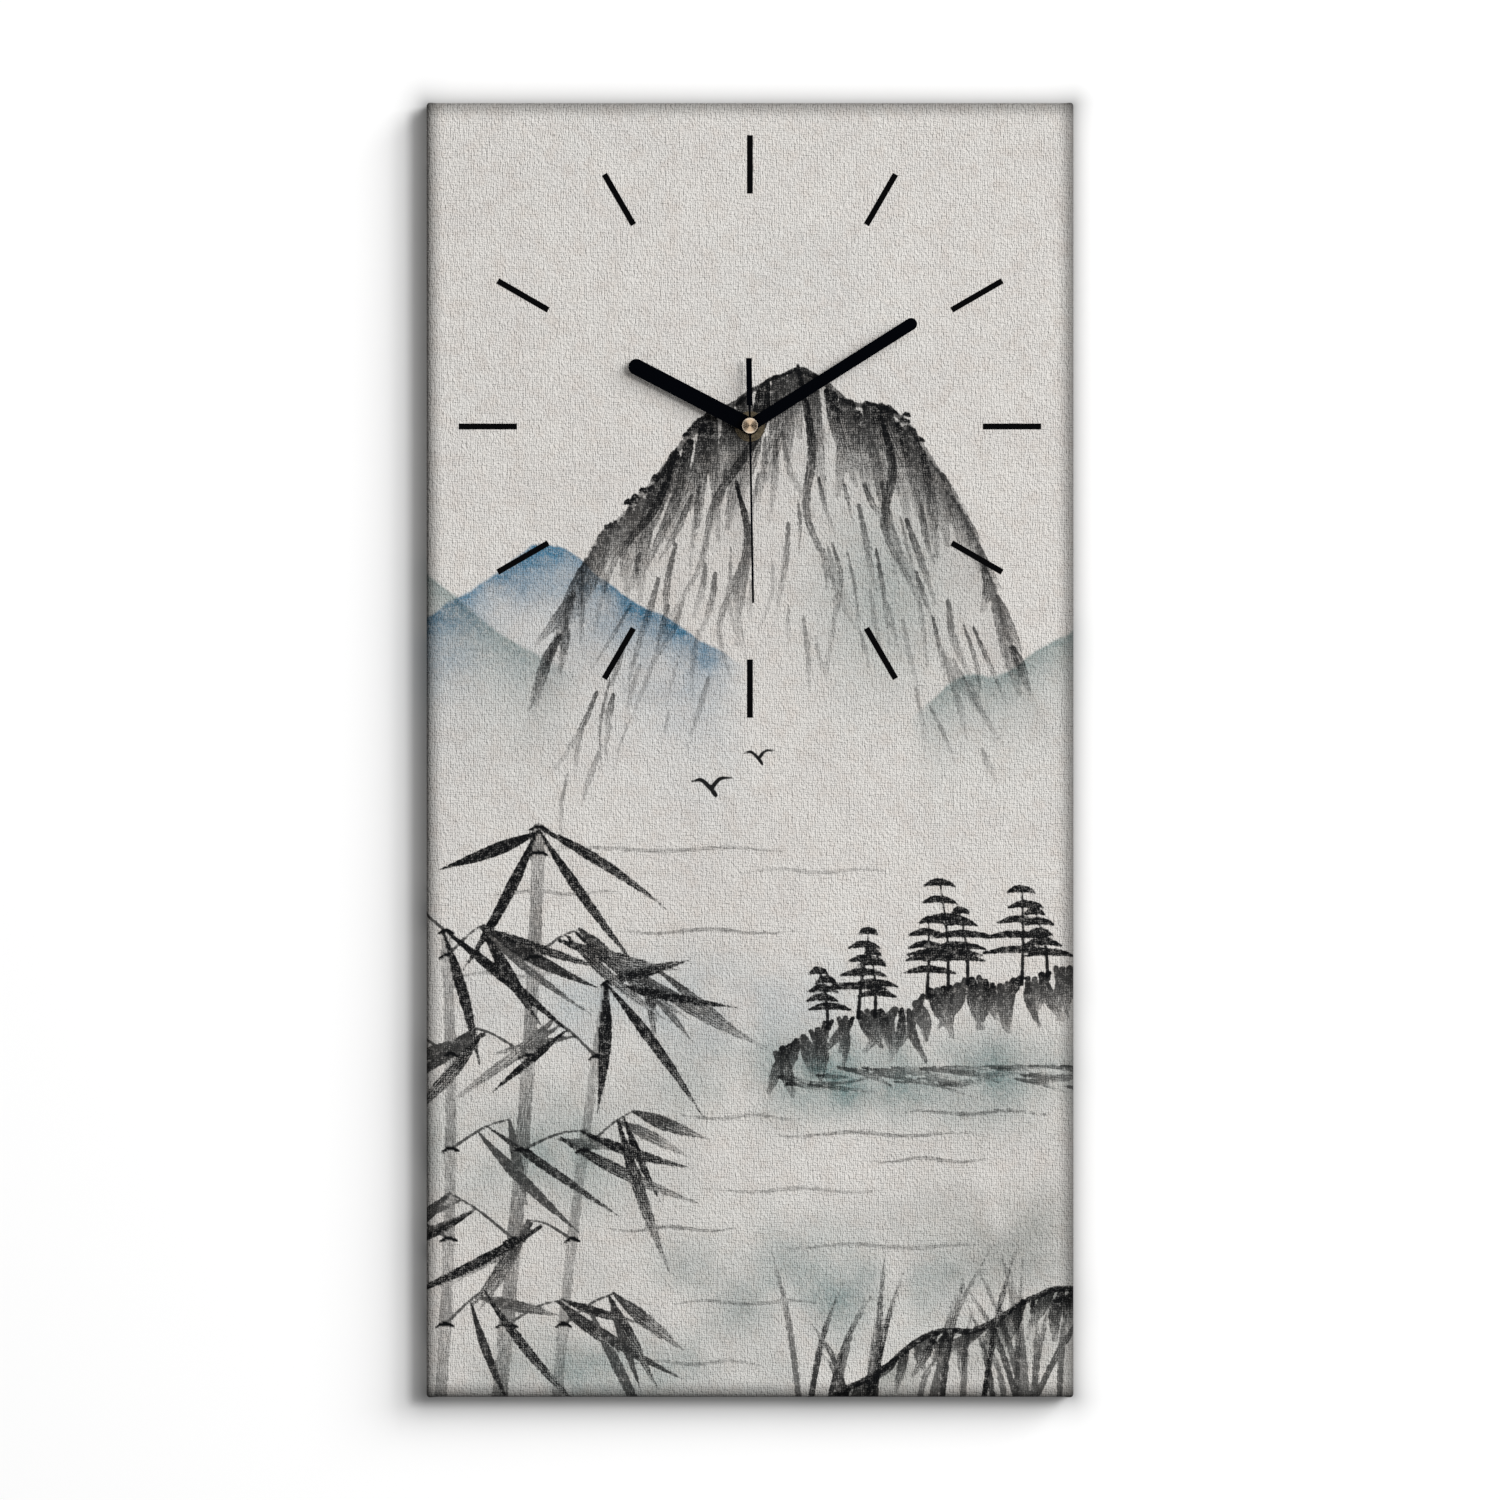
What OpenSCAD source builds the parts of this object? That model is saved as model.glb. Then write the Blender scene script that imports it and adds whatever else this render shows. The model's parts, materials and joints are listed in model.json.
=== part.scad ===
// Canvas wall clock: cloth stretched over a mitred pine frame, a quartz movement on a
// board behind the cloth, and three hands in front of it.
//
// The wall is the plane y = 0, the front faces -Y and +Z is up. The origin is the centre
// of the hanging keyhole, straight above the axis of the hands.
// The modules draw in front-view coordinates, which hung() turns upright: x to the right,
// y up from the axis of the hands, and z out from the wall.

/* [Canvas] */
// Width of the stretched canvas
canvas_w = 300; // [290:5:400]
// Height of the stretched canvas
canvas_h = 600; // [500:10:900]
// Thickness of the cloth
canvas_t = 0.5; // [0.5:0.05:0.8]
// Width of the cloth turned in behind the frame
flap_w = 25; // [20:1:28]
// Radius of the front edges
edge_r = 2; // [1:0.1:4]
// Distance from the top edge down to the axis of the hands
axis_down = 150; // [145:5:300]

/* [Stretcher frame] */
// Width of each bar
bar_w = 30; // [28:1:40]
// Thickness of each bar
bar_t = 19; // [19:0.5:24]
// Width of the flat lip that carries the cloth
lip_w = 9; // [6:0.5:11]
// How far the front of a bar falls away behind the cloth
bevel_drop = 2; // [1:0.1:2.4]

/* [Staples] */
// Width of a staple's crown
crown_w = 10; // [8:0.5:13]
// Length of a staple's legs
leg_l = 8; // [5:0.5:12]
// Width of the staple wire
wire_w = 0.9; // [0.6:0.1:1.2]
// Thickness of the staple wire
wire_t = 0.5; // [0.3:0.05:0.5]
// Distance from the frame's edge in to the canvas staples
staple_in = 13; // [9:0.5:18]
// Greatest distance between two canvas staples
staple_pitch = 90; // [60:5:130]
// Distance from the inner end of a mitre to the first canvas staple
staple_start = 16; // [10:1:30]
// Distance from the board's upper and lower edges to its staples
board_staple_in = 20; // [12:1:30]

/* [Backing board] */
// Thickness of the board
board_t = 3; // [2.5:0.1:3]
// Height of the board
board_h = 100; // [80:5:120]
// How far the board's ends lie on the side bars
board_seat = 13; // [10:0.5:17]
// Clearance round the board in its notches
board_gap = 0.3; // [0.1:0.1:0.8]

/* [Movement case] */
// Width and height of the case
case_w = 56; // [55.5:0.1:58]
// Thickness of the case
case_t = 15.7; // [15.6:0.05:16.5]
// Thickness of the case walls
case_wall = 1.2; // [1:0.05:1.25]
// Corner radius of the case
case_r = 4; // [2:0.5:6]
// Thickness of the rear cover
cover_t = 1.2; // [1:0.05:1.4]
// Thickness of the middle plate
plate_t = 1; // [0.8:0.05:1.2]

/* [Hanger] */
// Radius of the round hole that goes over a screw's head
keyhole_r = 4.5; // [3.5:0.1:5]
// Width of the slot for a screw's shank
slot_w = 4.2; // [3:0.1:5]
// Height of the slot above the centre of the round hole
slot_rise = 8; // [6.5:0.5:10]
// Thickness of the hanger
hanger_t = 2; // [1.5:0.1:2.5]
// Width of plastic round the keyhole
hanger_rim = 6; // [4:0.5:8]

/* [Battery] */
// Diameter of the battery
battery_d = 14; // [13.5:0.1:14.1]
// Length of the battery's body
battery_l = 49.2; // [48.5:0.1:49.4]
// Height of the positive stud
stud_h = 1.3; // [1:0.1:1.5]
// Diameter of the positive stud
stud_d = 5.5; // [4.2:0.1:6]
// Clearance round the battery
battery_gap = 0.2; // [0.1:0.05:0.25]
// Thickness of the contact strips
strip_t = 0.3; // [0.2:0.05:0.4]
// Width of the contact strips
strip_w = 1.8; // [1:0.1:2]

/* [Bush and nut] */
// Diameter of the threaded bush
bush_d = 8; // [7.6:0.1:9]
// Depth of the thread
thread_depth = 0.35; // [0.2:0.05:0.45]
// Pitch of the thread
thread_pitch = 0.75; // [0.5:0.05:1]
// Length of thread that shows in front of the nut
bush_show = 1.2; // [0.5:0.1:2]
// Distance across the flats of the nut
nut_af = 11; // [10.5:0.5:13]
// Thickness of the nut
nut_t = 2.2; // [1.5:0.1:3]
// Diameter of the brass washer
washer_d = 14; // [13:0.5:18]
// Thickness of the brass washer
washer_t = 0.6; // [0.4:0.1:1]
// Diameter of the rubber washer
rubber_d = 18; // [15:0.5:24]
// Thickness of the rubber washer
rubber_t = 0.8; // [0.5:0.1:0.8]
// Clearance of the bush in the board and the cloth
bush_gap = 0.3; // [0.1:0.1:0.6]

/* [Arbors] */
// Diameter of the seconds arbor
seconds_d = 1; // [0.8:0.05:1.1]
// Diameter of the minute arbor
minute_d = 3.5; // [3:0.1:3.6]
// Diameter of the hour tube
hour_d = 5; // [4.8:0.1:5.2]
// Radial clearance of an arbor in its bearing
run_fit = 0.06; // [0.03:0.01:0.08]
// Diameter of the small wheels' arbors
arbor_d = 1; // [0.8:0.1:1.2]
// Diameter of their pivots
pivot_d = 0.6; // [0.4:0.05:0.7]

/* [Wheels] */
// Thickness of the wheels
wheel_t = 0.7; // [0.5:0.05:0.75]
// Distance between wheels on neighbouring levels
level_gap = 0.45; // [0.35:0.05:0.5]
// Tooth module of the wheel that the seconds pinion drives
going_module = 0.3; // [0.28:0.005:0.31]
// Tooth module of the wheel that the rotor drives
rotor_module = 0.25; // [0.2:0.01:0.26]
// Tooth module of the wheel that the minute arbor drives
motion_module = 0.5; // [0.4:0.01:0.52]

/* [Motor] */
// Diameter of the rotor's magnet
magnet_d = 6; // [5:0.1:6.2]
// Air gap between the magnet and the stator
air_gap = 0.5; // [0.3:0.05:0.6]
// Thickness of the stator and of the coil's core
stator_t = 0.8; // [0.6:0.05:0.9]
// Diameter of the bobbin's flanges
flange_d = 8.4; // [7:0.1:8.6]
// Length of the bobbin
bobbin_l = 22; // [18:0.5:23]

/* [Setting knob] */
// Diameter of the knob
knob_d = 11; // [9:0.1:11.5]
// Thickness of the knob
knob_t = 1.8; // [1.4:0.1:1.9]

/* [Hands] */
// Length of the hour hand from the axis
hour_l = 63; // [50:1:75]
// Width of the hour hand
hour_w = 7.4; // [5:0.1:8]
// Length of the minute hand from the axis
minute_l = 91; // [80:1:100]
// Width of the minute hand
minute_w = 5.6; // [4:0.1:7]
// Length of the second hand from the axis
second_l = 82; // [70:1:100]
// Width of the second hand
second_w = 1; // [0.8:0.1:1.4]
// Length of the second hand's tail from the axis
tail_l = 31.3; // [20:0.5:40]
// Width of the tail
tail_w = 2.7; // [2:0.1:3.5]
// Distance from the axis at which the tail widens
tail_start = 9.3; // [7:0.1:12]
// Thickness of the hands
hand_t = 0.4; // [0.3:0.05:0.6]
// Free height between one hand and the next
hand_gap = 1.6; // [1.2:0.1:2.2]
// Diameter of the hands' hubs
hub_d = 8.1; // [8:0.1:10]
// Diameter of the brass cap
cap_d = 7.2; // [5:0.1:7.6]
// Thickness of the brass cap
cap_t = 0.7; // [0.4:0.1:1.2]

/* [Dial] */
// Length of an hour mark
mark_l = 27; // [20:1:35]
// Width of an hour mark
mark_w = 2.7; // [2:0.1:4]
// Distance from the axis to the marks' outer ends
mark_outer = 135; // [120:1:140]
// Thickness of the marks' paint
mark_t = 0.15; // [0.1:0.05:0.3]

/* [Hidden] */
$fn = 64;

// Room that a cutting solid runs past the face that it cuts
over = 1;
// Gap between an arbor's shoulder and its bearing
end_shake = 0.1;
// Clearance of a piece that is pressed or glued in place
snug = 0.02;

// The frame inside the cloth, and heights above the wall
frame_w = canvas_w - 2 * canvas_t;
frame_h = canvas_h - 2 * canvas_t;
frame_mid = axis_down - canvas_h / 2;
frame_front = canvas_t + bar_t;
canvas_front = frame_front + canvas_t;
board_back = frame_front - board_t;
case_back = board_back - rubber_t - case_t;

// Places of the staples, with those of a mitre as shares of the bar's width
corner_clear = bar_w + staple_start;
mitre_shares = [0.3, 0.7];
board_staple_x = frame_w / 2 - bar_w + board_seat / 2;

// The hanger above the case
keyhole_lift = 0.5;
hanger_up = case_w / 2 + keyhole_lift + keyhole_r;

// The battery bay along the foot of the case, and the wall above it
bay_wall = 1;
bay_low = -case_w / 2 + case_wall;
bay_high = bay_low + battery_d + 2 * battery_gap;
gear_low = bay_high + bay_wall;
inner_w = case_w / 2 - case_wall;
inner_front = case_t - case_wall;
battery_y = (bay_low + bay_high) / 2;
battery_z = inner_front - battery_gap - battery_d / 2;

// Tooth counts: 40/8 * 48/8 turns the rotor 30 times a minute, 60/8 * 64/8 slows the
// minute arbor by 60, and 36/12 * 48/12 slows the hour wheel by 12
small_n = 8;
seconds_n = 40;
fifth_n = 48;
third_n = 60;
centre_n = 64;
cannon_n = 12;
minute_n = 36;
minute_pinion_n = 12;
hour_n = 48;

// Tooth shape, as shares of the module and of the pitch
addendum = 0.8;
dedendum = 1.15;
pinion_root = 0.45;
pinion_tip = 0.25;
wheel_root = 0.6;
wheel_tip = 0.26;

// Modules that follow from a shared centre distance
third_dist = going_module * (small_n + third_n) / 2;
centre_module = 2 * third_dist / (small_n + centre_n);
motion_dist = motion_module * (cannon_n + minute_n) / 2;
hour_module = 2 * motion_dist / (minute_pinion_n + hour_n);
centre_tip_r = centre_module * (centre_n / 2 + addendum);
fifth_dist = centre_tip_r + arbor_d / 2 + 0.3;
seconds_module = 2 * fifth_dist / (small_n + seconds_n);
rotor_dist = rotor_module * (small_n + fifth_n) / 2;

// Directions from the axis, and from the fifth wheel to the rotor
third_dir = 0;
fifth_dir = 100;
rotor_dir = 20;
minute_dir = 180;

// Places of the arbors in front view
third_at = along(third_dist, third_dir);
fifth_at = along(fifth_dist, fifth_dir);
rotor_at = fifth_at + along(rotor_dist, rotor_dir);
minute_at = along(motion_dist, minute_dir);

// Levels in the case, from its back face to the back face of each wheel
knob_in = 0.2;
knob_lift = 0.2;
pocket_wall = 0.9;
pocket_top = knob_in + knob_t + knob_lift + pocket_wall;
bearing_gap = 0.3;
seconds_z = pocket_top + bearing_gap;
fifth_z = seconds_z + wheel_t + level_gap;
stator_z = fifth_z + wheel_t + level_gap;
third_z = stator_z + stator_t + level_gap;
centre_z = third_z + wheel_t + level_gap;
plate_z = centre_z + wheel_t + level_gap;
minute_z = plate_z + plate_t + level_gap;
hour_z = minute_z + wheel_t + level_gap;
boss_top = seconds_z - bearing_gap;

// Bearings in the cover and the plate, and the pivots in them
boss_wall = 0.7;
bearing_depth = 1.2;
pivot_l = 0.9;
seconds_pivot_l = 1.1;

// The bush's flange inside the case
bush_flange_t = 0.8;
bush_flange_r = bush_d / 2 + 1.2;
bush_back = inner_front - bush_flange_t;

// Each ridge of the thread starts, peaks and ends at these multiples of this share of
// the pitch, and the last stops short of the bush's end
ridge_share = 0.4;
thread_end = 0.5;

// How far the nut's corners stand past the cone that trims them, at its back
nut_cone = 1.4;

// Heights of the fittings and the hands above the wall
nut_back = canvas_front + washer_t;
bush_front = nut_back + nut_t + bush_show;
collar_h = 0.7;
collar_wall = 0.7;
collar_gap = 0.3;
hour_hand_z = bush_front + collar_gap + collar_h;
hour_tube_end = hour_hand_z + hand_t + 0.5;
minute_shoulder = hour_tube_end + 0.3;
minute_hand_z = hour_hand_z + hand_t + hand_gap;
minute_arbor_end = minute_hand_z + hand_t + 0.4;
second_hand_z = minute_hand_z + hand_t + hand_gap;
boss_t = 0.8;
seconds_collar_wall = 0.6;
seconds_seat = boss_t - 0.1;
seconds_arbor_end = second_hand_z + seconds_seat - 0.1;
cap_z = second_hand_z + boss_t;
cap_bevel = 0.25;

// Width across the two flats at the tip of the minute arbor
flat_w = 2.6;

// Clock angles of the hands, clockwise from 12
hour_at = 297.5;
minute_hand_at = 57.7;
second_at = 179;

// The coil above the stator, and room between neighbours in the case
room = 0.6;
coil_y = case_w / 2 - case_wall - 0.8 - flange_d / 2;
coil_z = stator_z + stator_t + stator_t / 2;
core_w = 3.6;
core_end = 6;
core_half = bobbin_l / 2 + core_end;
core_gap = 0.1;
bobbin_wall = 0.9;
barrel_r = 2.4;
winding_in = 0.4;
winding_r = flange_d / 2 - winding_in;
arm_w = core_end - 1.2;
rivet_x = core_half - arm_w / 2;
rivet_r = 0.75;
rivet_head_r = 1.5;
rivet_head_t = 0.5;
rivet_tail_r = 1.3;
rivet_tail_t = 0.4;
neck = 0.9;
arbor_room = 0.5;

// The magnet stands past both faces of the stator
magnet_sleeve = 0.3;
magnet_back = 0.15;
magnet_front = 0.35;
sleeve_front = magnet_front + 0.25;
stator_hole_r = magnet_d / 2 + air_gap;
stator_low = rotor_at[1] - stator_hole_r - neck;
stator_high = rotor_at[1] + stator_hole_r + neck;

// Posts that carry the middle plate, the stator and the circuit board
post_r = 1.5;
peg_r = 0.8;
board_post_r = 1.2;
plate_posts = [for (x = [-1, 1], y = [gear_low + 3.4, 14]) [x * (inner_w - 3.3), y]];
stator_post_y = rotor_at[1];
pcb_z = 5;
pcb_t = 0.8;
pcb_right = minute_at[0] - 3;
pcb_low = gear_low + 1.4;
pcb_high = stator_low - room;
pcb_post_gap = 0.2;
board_posts = [[-inner_w + 6.8, pcb_high - 2], [pcb_right - 1.8, gear_low + 5.6]];
plate_gap = 0.4;
plate_high = coil_y - flange_d / 2 - room;

// Drop of resin over the chip, and the quartz can beside it
resin_in = 6;
resin_r = 2.4;
resin_top_r = 1.8;
resin_h = 1;
can_d = 2;
can_l = 5.2;
can_tip_d = 1.5;
can_tip_l = 0.4;
can_in = 1.8;

// Setting knob
knob_gap = 0.4;
knob_notches = 12;
notch_r = 0.9;
notch_out = 0.35;
setting_d = 2;
setting_pivot_d = 1.2;
setting_boss_wall = 0.6;
setting_shoulder = hour_z + wheel_t + 0.8;
setting_end = inner_front - 0.3;

// Hubs and collars of the wheels
collar_over = 0.1;
rotor_pinion_over = 0.2;
seconds_sleeve = 0.35;
seconds_hub = 1.2;
seconds_hub_over = 0.2;
centre_hub = 1.1;
hour_hub = 0.9;

// Clips at the sides and the top that hold the cover in the case
clip_w = 5;
clip_t = 1;
clip_l = 4.5;
clip_bump = 0.5;
clip_hook = 1.4;
clip_gap = 0.2;
clip_up = 12;
clip_out = 21;

// Contact strips that run up the sides of the case to the circuit board, and the sprung
// leaf on each that bows towards the battery
strip_z = pcb_z - strip_w;
leaf_play = 0.05;
leaf_rise = inner_w - (battery_l + stud_h) / 2 - strip_t - leaf_play;
leaf_chord = 8;
leaf_w = 5;
leaf_plate_in = 0.5;
leaf_plate_z = 2;
strip_foot = 1.5;
pad_w = 3;
positive_pad_l = 3.4;
positive_pad_in = 3.4;
negative_pad_l = 2.2;
negative_pad_up = 6.4;

function along(r, dir) = [r * cos(dir), r * sin(dir)];

// Angle of a tooth of the second gear that sits between two teeth of the first
function mesh_phase(n1, phase1, n2, dir) =
  dir + 180 - 360 / n2 * (0.5 - (dir - phase1) * n1 / 360);

// A tooth of each pinion and of the cannon pinion points straight right at rest
fifth_phase = mesh_phase(seconds_n, 0, small_n, fifth_dir);
rotor_phase = mesh_phase(fifth_n, 0, small_n, rotor_dir);
third_phase = mesh_phase(small_n, 0, third_n, third_dir);
centre_phase = mesh_phase(small_n, 0, centre_n, third_dir + 180);
minute_phase = mesh_phase(cannon_n, 0, minute_n, minute_dir);
hour_phase = mesh_phase(minute_pinion_n, 0, hour_n, minute_dir + 180);

// Outline of a gear, with four points to a tooth
function tooth_points(n, m, phase, root, tip) =
  let (
    half_pitch = m * PI / 2,
    root_r = m * (n / 2 - dedendum),
    tip_r = m * (n / 2 + addendum),
    root_a = root * half_pitch / root_r * 180 / PI,
    tip_a = tip * half_pitch / tip_r * 180 / PI
  )
  [
    for (i = [0 : n - 1], side = [-1, 1], first = [0, 1])
      let (
        at_tip = side < 0 ? first == 1 : first == 0,
        a = phase + 360 * i / n + side * (at_tip ? tip_a : root_a)
      )
      along(at_tip ? tip_r : root_r, a)
  ];

module wheel_teeth(n, m, phase)
  polygon(tooth_points(n, m, phase, wheel_root, wheel_tip));

module pinion_teeth(n, m, phase)
  polygon(tooth_points(n, m, phase, pinion_root, pinion_tip));

// Turns front-view coordinates into the part's own frame
module hung()
  translate([0, 0, -hanger_up]) rotate([90, 0, 0]) children();

// The same, with heights counted from the back of the movement
module in_case()
  hung() translate([0, 0, case_back]) children();

module at(p)
  translate([p[0], p[1], 0]) children();

module disc(r, z0, z1)
  translate([0, 0, z0]) cylinder(r = r, h = z1 - z0);

module ring(r, bore_r, z0, z1)
  difference() {
    disc(r, z0, z1);
    disc(bore_r, z0 - over, z1 + over);
  }

module rounded_rect(w, h, r) {
  square([w - 2 * r, h], center = true);
  square([w, h - 2 * r], center = true);
  for (x = [-1, 1], y = [-1, 1])
    translate([x * (w / 2 - r), y * (h / 2 - r)]) circle(r);
}

// A steel arbor with a pivot at each end
module pivoted_arbor(z0, z1) {
  disc(arbor_d / 2, z0, z1);
  disc(pivot_d / 2, z0 - pivot_l, z1 + plate_t - end_shake);
}

// Side of the frame: 0 bottom, 1 right, 2 top, 3 left. The side runs along x, and y is
// the distance in from the frame's edge.
function side_len(s) = s % 2 == 0 ? frame_w : frame_h;
function side_out(s) = s % 2 == 0 ? frame_h / 2 : frame_w / 2;

module on_side(s)
  translate([0, frame_mid, 0]) rotate(90 * s) translate([0, -side_out(s), 0]) children();

// A staple with its crown along x, and its legs up from z = 0
module staple() {
  translate([-crown_w / 2, -wire_w / 2, 0]) cube([crown_w, wire_w, wire_t]);
  for (x = [-crown_w / 2, crown_w / 2 - wire_t])
    translate([x, -wire_w / 2, 0]) cube([wire_t, wire_w, leg_l]);
}

function staple_count(s) = ceil((side_len(s) - 2 * corner_clear) / staple_pitch) + 1;
function staple_step(s) = (side_len(s) - 2 * corner_clear) / (staple_count(s) - 1);

module side_staples(s)
  on_side(s)
    for (i = [0 : staple_count(s) - 1])
      translate([-side_len(s) / 2 + corner_clear + i * staple_step(s), staple_in, 0])
        staple();

// Two staples across each mitre, under the cloth
module mitre_staples()
  for (x = [-1, 1], y = [-1, 1], share = mitre_shares)
    translate([
      x * (frame_w / 2 - share * bar_w),
      frame_mid + y * (frame_h / 2 - share * bar_w),
      canvas_t
    ])
      rotate(x * y > 0 ? -45 : 45) staple();

// Two staples through each end of the board, with their crowns level with its face
module end_staples()
  for (x = [-1, 1], y = [-1, 1])
    translate([x * board_staple_x, y * (board_h / 2 - board_staple_in), frame_front])
      rotate([180, 0, 90]) staple();

// A block with its front edges rounded
module rounded_front(w, t, r) {
  translate([-w / 2, 0]) square([w, t - r]);
  translate([-w / 2 + r, 0]) square([w - 2 * r, t]);
  for (x = [-1, 1])
    translate([x * (w / 2 - r), t - r]) circle(r);
}

module soft_block(w, h, t, r)
  intersection() {
    rotate([90, 0, 0]) linear_extrude(h, center = true) rounded_front(w, t, r);
    rotate([90, 0, 90]) linear_extrude(w, center = true) rounded_front(h, t, r);
  }

// Frame and cloth
module canvas()
  color("whitesmoke")
  hung() difference() {
    translate([0, frame_mid, 0])
      soft_block(canvas_w, canvas_h, canvas_front, edge_r);
    translate([0, frame_mid, canvas_t])
      soft_block(frame_w, frame_h, bar_t, edge_r - canvas_t);
    translate([0, frame_mid, 0])
      cube([canvas_w - 2 * flap_w, canvas_h - 2 * flap_w, 3 * canvas_t], center = true);
    disc(bush_d / 2 + bush_gap, frame_front - over, canvas_front + over);
    for (s = [0 : 3]) side_staples(s);
  }

module hour_marks()
  color("black")
  hung() for (i = [0 : 11])
    rotate(30 * i)
      translate([-mark_w / 2, mark_outer - mark_l, canvas_front]) cube([mark_w, mark_l, mark_t]);

module bar_profile() {
  r = edge_r - canvas_t;
  square([r, bar_t - r]);
  translate([r, bar_t - r]) circle(r);
  polygon([
    [r, 0], [bar_w, 0], [bar_w, bar_t - bevel_drop], [lip_w, bar_t], [r, bar_t]
  ]);
}

module bar(s) {
  half = side_len(s) / 2;
  difference() {
    on_side(s) intersection() {
      translate([0, 0, canvas_t])
        rotate([90, 0, 90]) linear_extrude(2 * half, center = true) bar_profile();
      linear_extrude(canvas_front)
        polygon([[-half, 0], [half, 0], [half - bar_w, bar_w], [bar_w - half, bar_w]]);
    }
    side_staples(s);
    mitre_staples();
    if (s % 2 == 1) {
      board_blank(board_gap);
      end_staples();
    }
  }
}

module top_bar() color("burlywood") hung() bar(2);

module bottom_bar() color("burlywood") hung() bar(0);

module left_bar() color("burlywood") hung() bar(3);

module right_bar() color("burlywood") hung() bar(1);

module corner_staples() color("silver") hung() mitre_staples();

module canvas_staples() color("silver") hung() for (s = [0 : 3]) side_staples(s);

// The board's outline, grown by a gap for the notches that take it
module board_blank(gap) {
  half = frame_w / 2 - bar_w + board_seat - board_gap + gap;
  translate([-half, -board_h / 2 - gap, board_back])
    cube([2 * half, board_h + 2 * gap, gap > 0 ? board_t + over : board_t]);
}

module backing_board()
  color("peru")
  hung() difference() {
    board_blank(0);
    disc(bush_d / 2 + bush_gap, board_back - over, frame_front + over);
    end_staples();
  }

module board_staples() color("silver") hung() end_staples();

// Fittings on the bush
module rubber_washer()
  color("dimgray")
  hung() ring(rubber_d / 2, bush_d / 2 + snug, board_back - rubber_t, board_back);

module brass_washer()
  color("goldenrod")
  hung() ring(washer_d / 2, bush_d / 2 + bush_gap, canvas_front, nut_back);

module hex_nut()
  color("goldenrod")
  hung() difference() {
    intersection() {
      translate([0, 0, nut_back]) cylinder(r = nut_af / sqrt(3), h = nut_t, $fn = 6);
      translate([0, 0, nut_back]) cylinder(r1 = nut_af / 2 + nut_cone, r2 = nut_af / 2, h = nut_t);
    }
    disc(bush_d / 2 + snug, nut_back - over, nut_back + nut_t + over);
  }

module threaded_bush() {
  thread_start = board_back - rubber_t;
  crests = floor((bush_front - thread_start - thread_end) / thread_pitch);
  core_r = bush_d / 2 - thread_depth;
  color("goldenrod")
  hung() difference() {
    union() {
      disc(bush_flange_r, case_back + bush_back, case_back + inner_front);
      disc(bush_d / 2, case_back + bush_back, thread_start);
      translate([0, 0, thread_start])
        rotate_extrude() polygon(concat(
          [[0, 0]],
          [
            for (i = [0 : crests - 1], part = [0 : 2])
              [part == 1 ? bush_d / 2 : core_r, (i + part * ridge_share) * thread_pitch]
          ],
          [[core_r, bush_front - thread_start], [0, bush_front - thread_start]]
        ));
    }
    disc(hour_d / 2 + run_fit, case_back, bush_front + over);
  }
}

// Movement case
module case_face(low)
  intersection() {
    rounded_rect(case_w, case_w, case_r);
    translate([-case_w / 2, low]) square([case_w, case_w / 2 - low]);
  }

module gear_space()
  translate([-inner_w, gear_low]) square([2 * inner_w, inner_w - gear_low]);

module clips_at()
  for (c = [[0, clip_up], [180, -clip_up], [90, clip_out], [90, -clip_out]])
    rotate(c[0]) translate([inner_w, c[1], 0]) children();

module front_case()
  color([0.12, 0.12, 0.13])
  in_case() difference() {
    union() {
      difference() {
        linear_extrude(case_t) rounded_rect(case_w, case_w, case_r);
        translate([0, 0, -over]) linear_extrude(inner_front + over) gear_space();
        translate([-inner_w, bay_low, -over])
          cube([2 * inner_w, bay_high - bay_low, inner_front + over]);
        translate([-case_w, bay_high, -over]) cube([2 * case_w, case_w, cover_t + over]);
      }
      for (p = plate_posts) at(p) {
        disc(post_r, plate_z + plate_t, inner_front + case_wall / 2);
        disc(peg_r, plate_z, inner_front);
      }
      at(minute_at)
        disc(
          setting_d / 2 + setting_boss_wall, setting_shoulder + end_shake,
          inner_front + case_wall / 2
        );
    }
    at(minute_at)
      disc(setting_pivot_d / 2 + run_fit, hour_z + wheel_t, setting_end + 2 * end_shake);
    disc(bush_d / 2 + snug, inner_front - over, case_t + over);
    contact_notches();
    clips_at()
      translate([-over, -clip_w / 2 - clip_gap, cover_t + clip_l - clip_hook - clip_gap])
        cube([case_wall + 2 * over, clip_w + 2 * clip_gap, clip_hook + 2 * clip_gap]);
  }

// Slots in the bay's wall for the contact strips
module contact_notches()
  for (x = [-1, 1])
    translate([
      x * (inner_w - strip_t / 2 - snug) - strip_t / 2 - 2 * snug, bay_high - over, strip_z - snug
    ])
      cube([strip_t + 4 * snug, bay_wall + 2 * over, strip_w + 2 * snug]);

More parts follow.
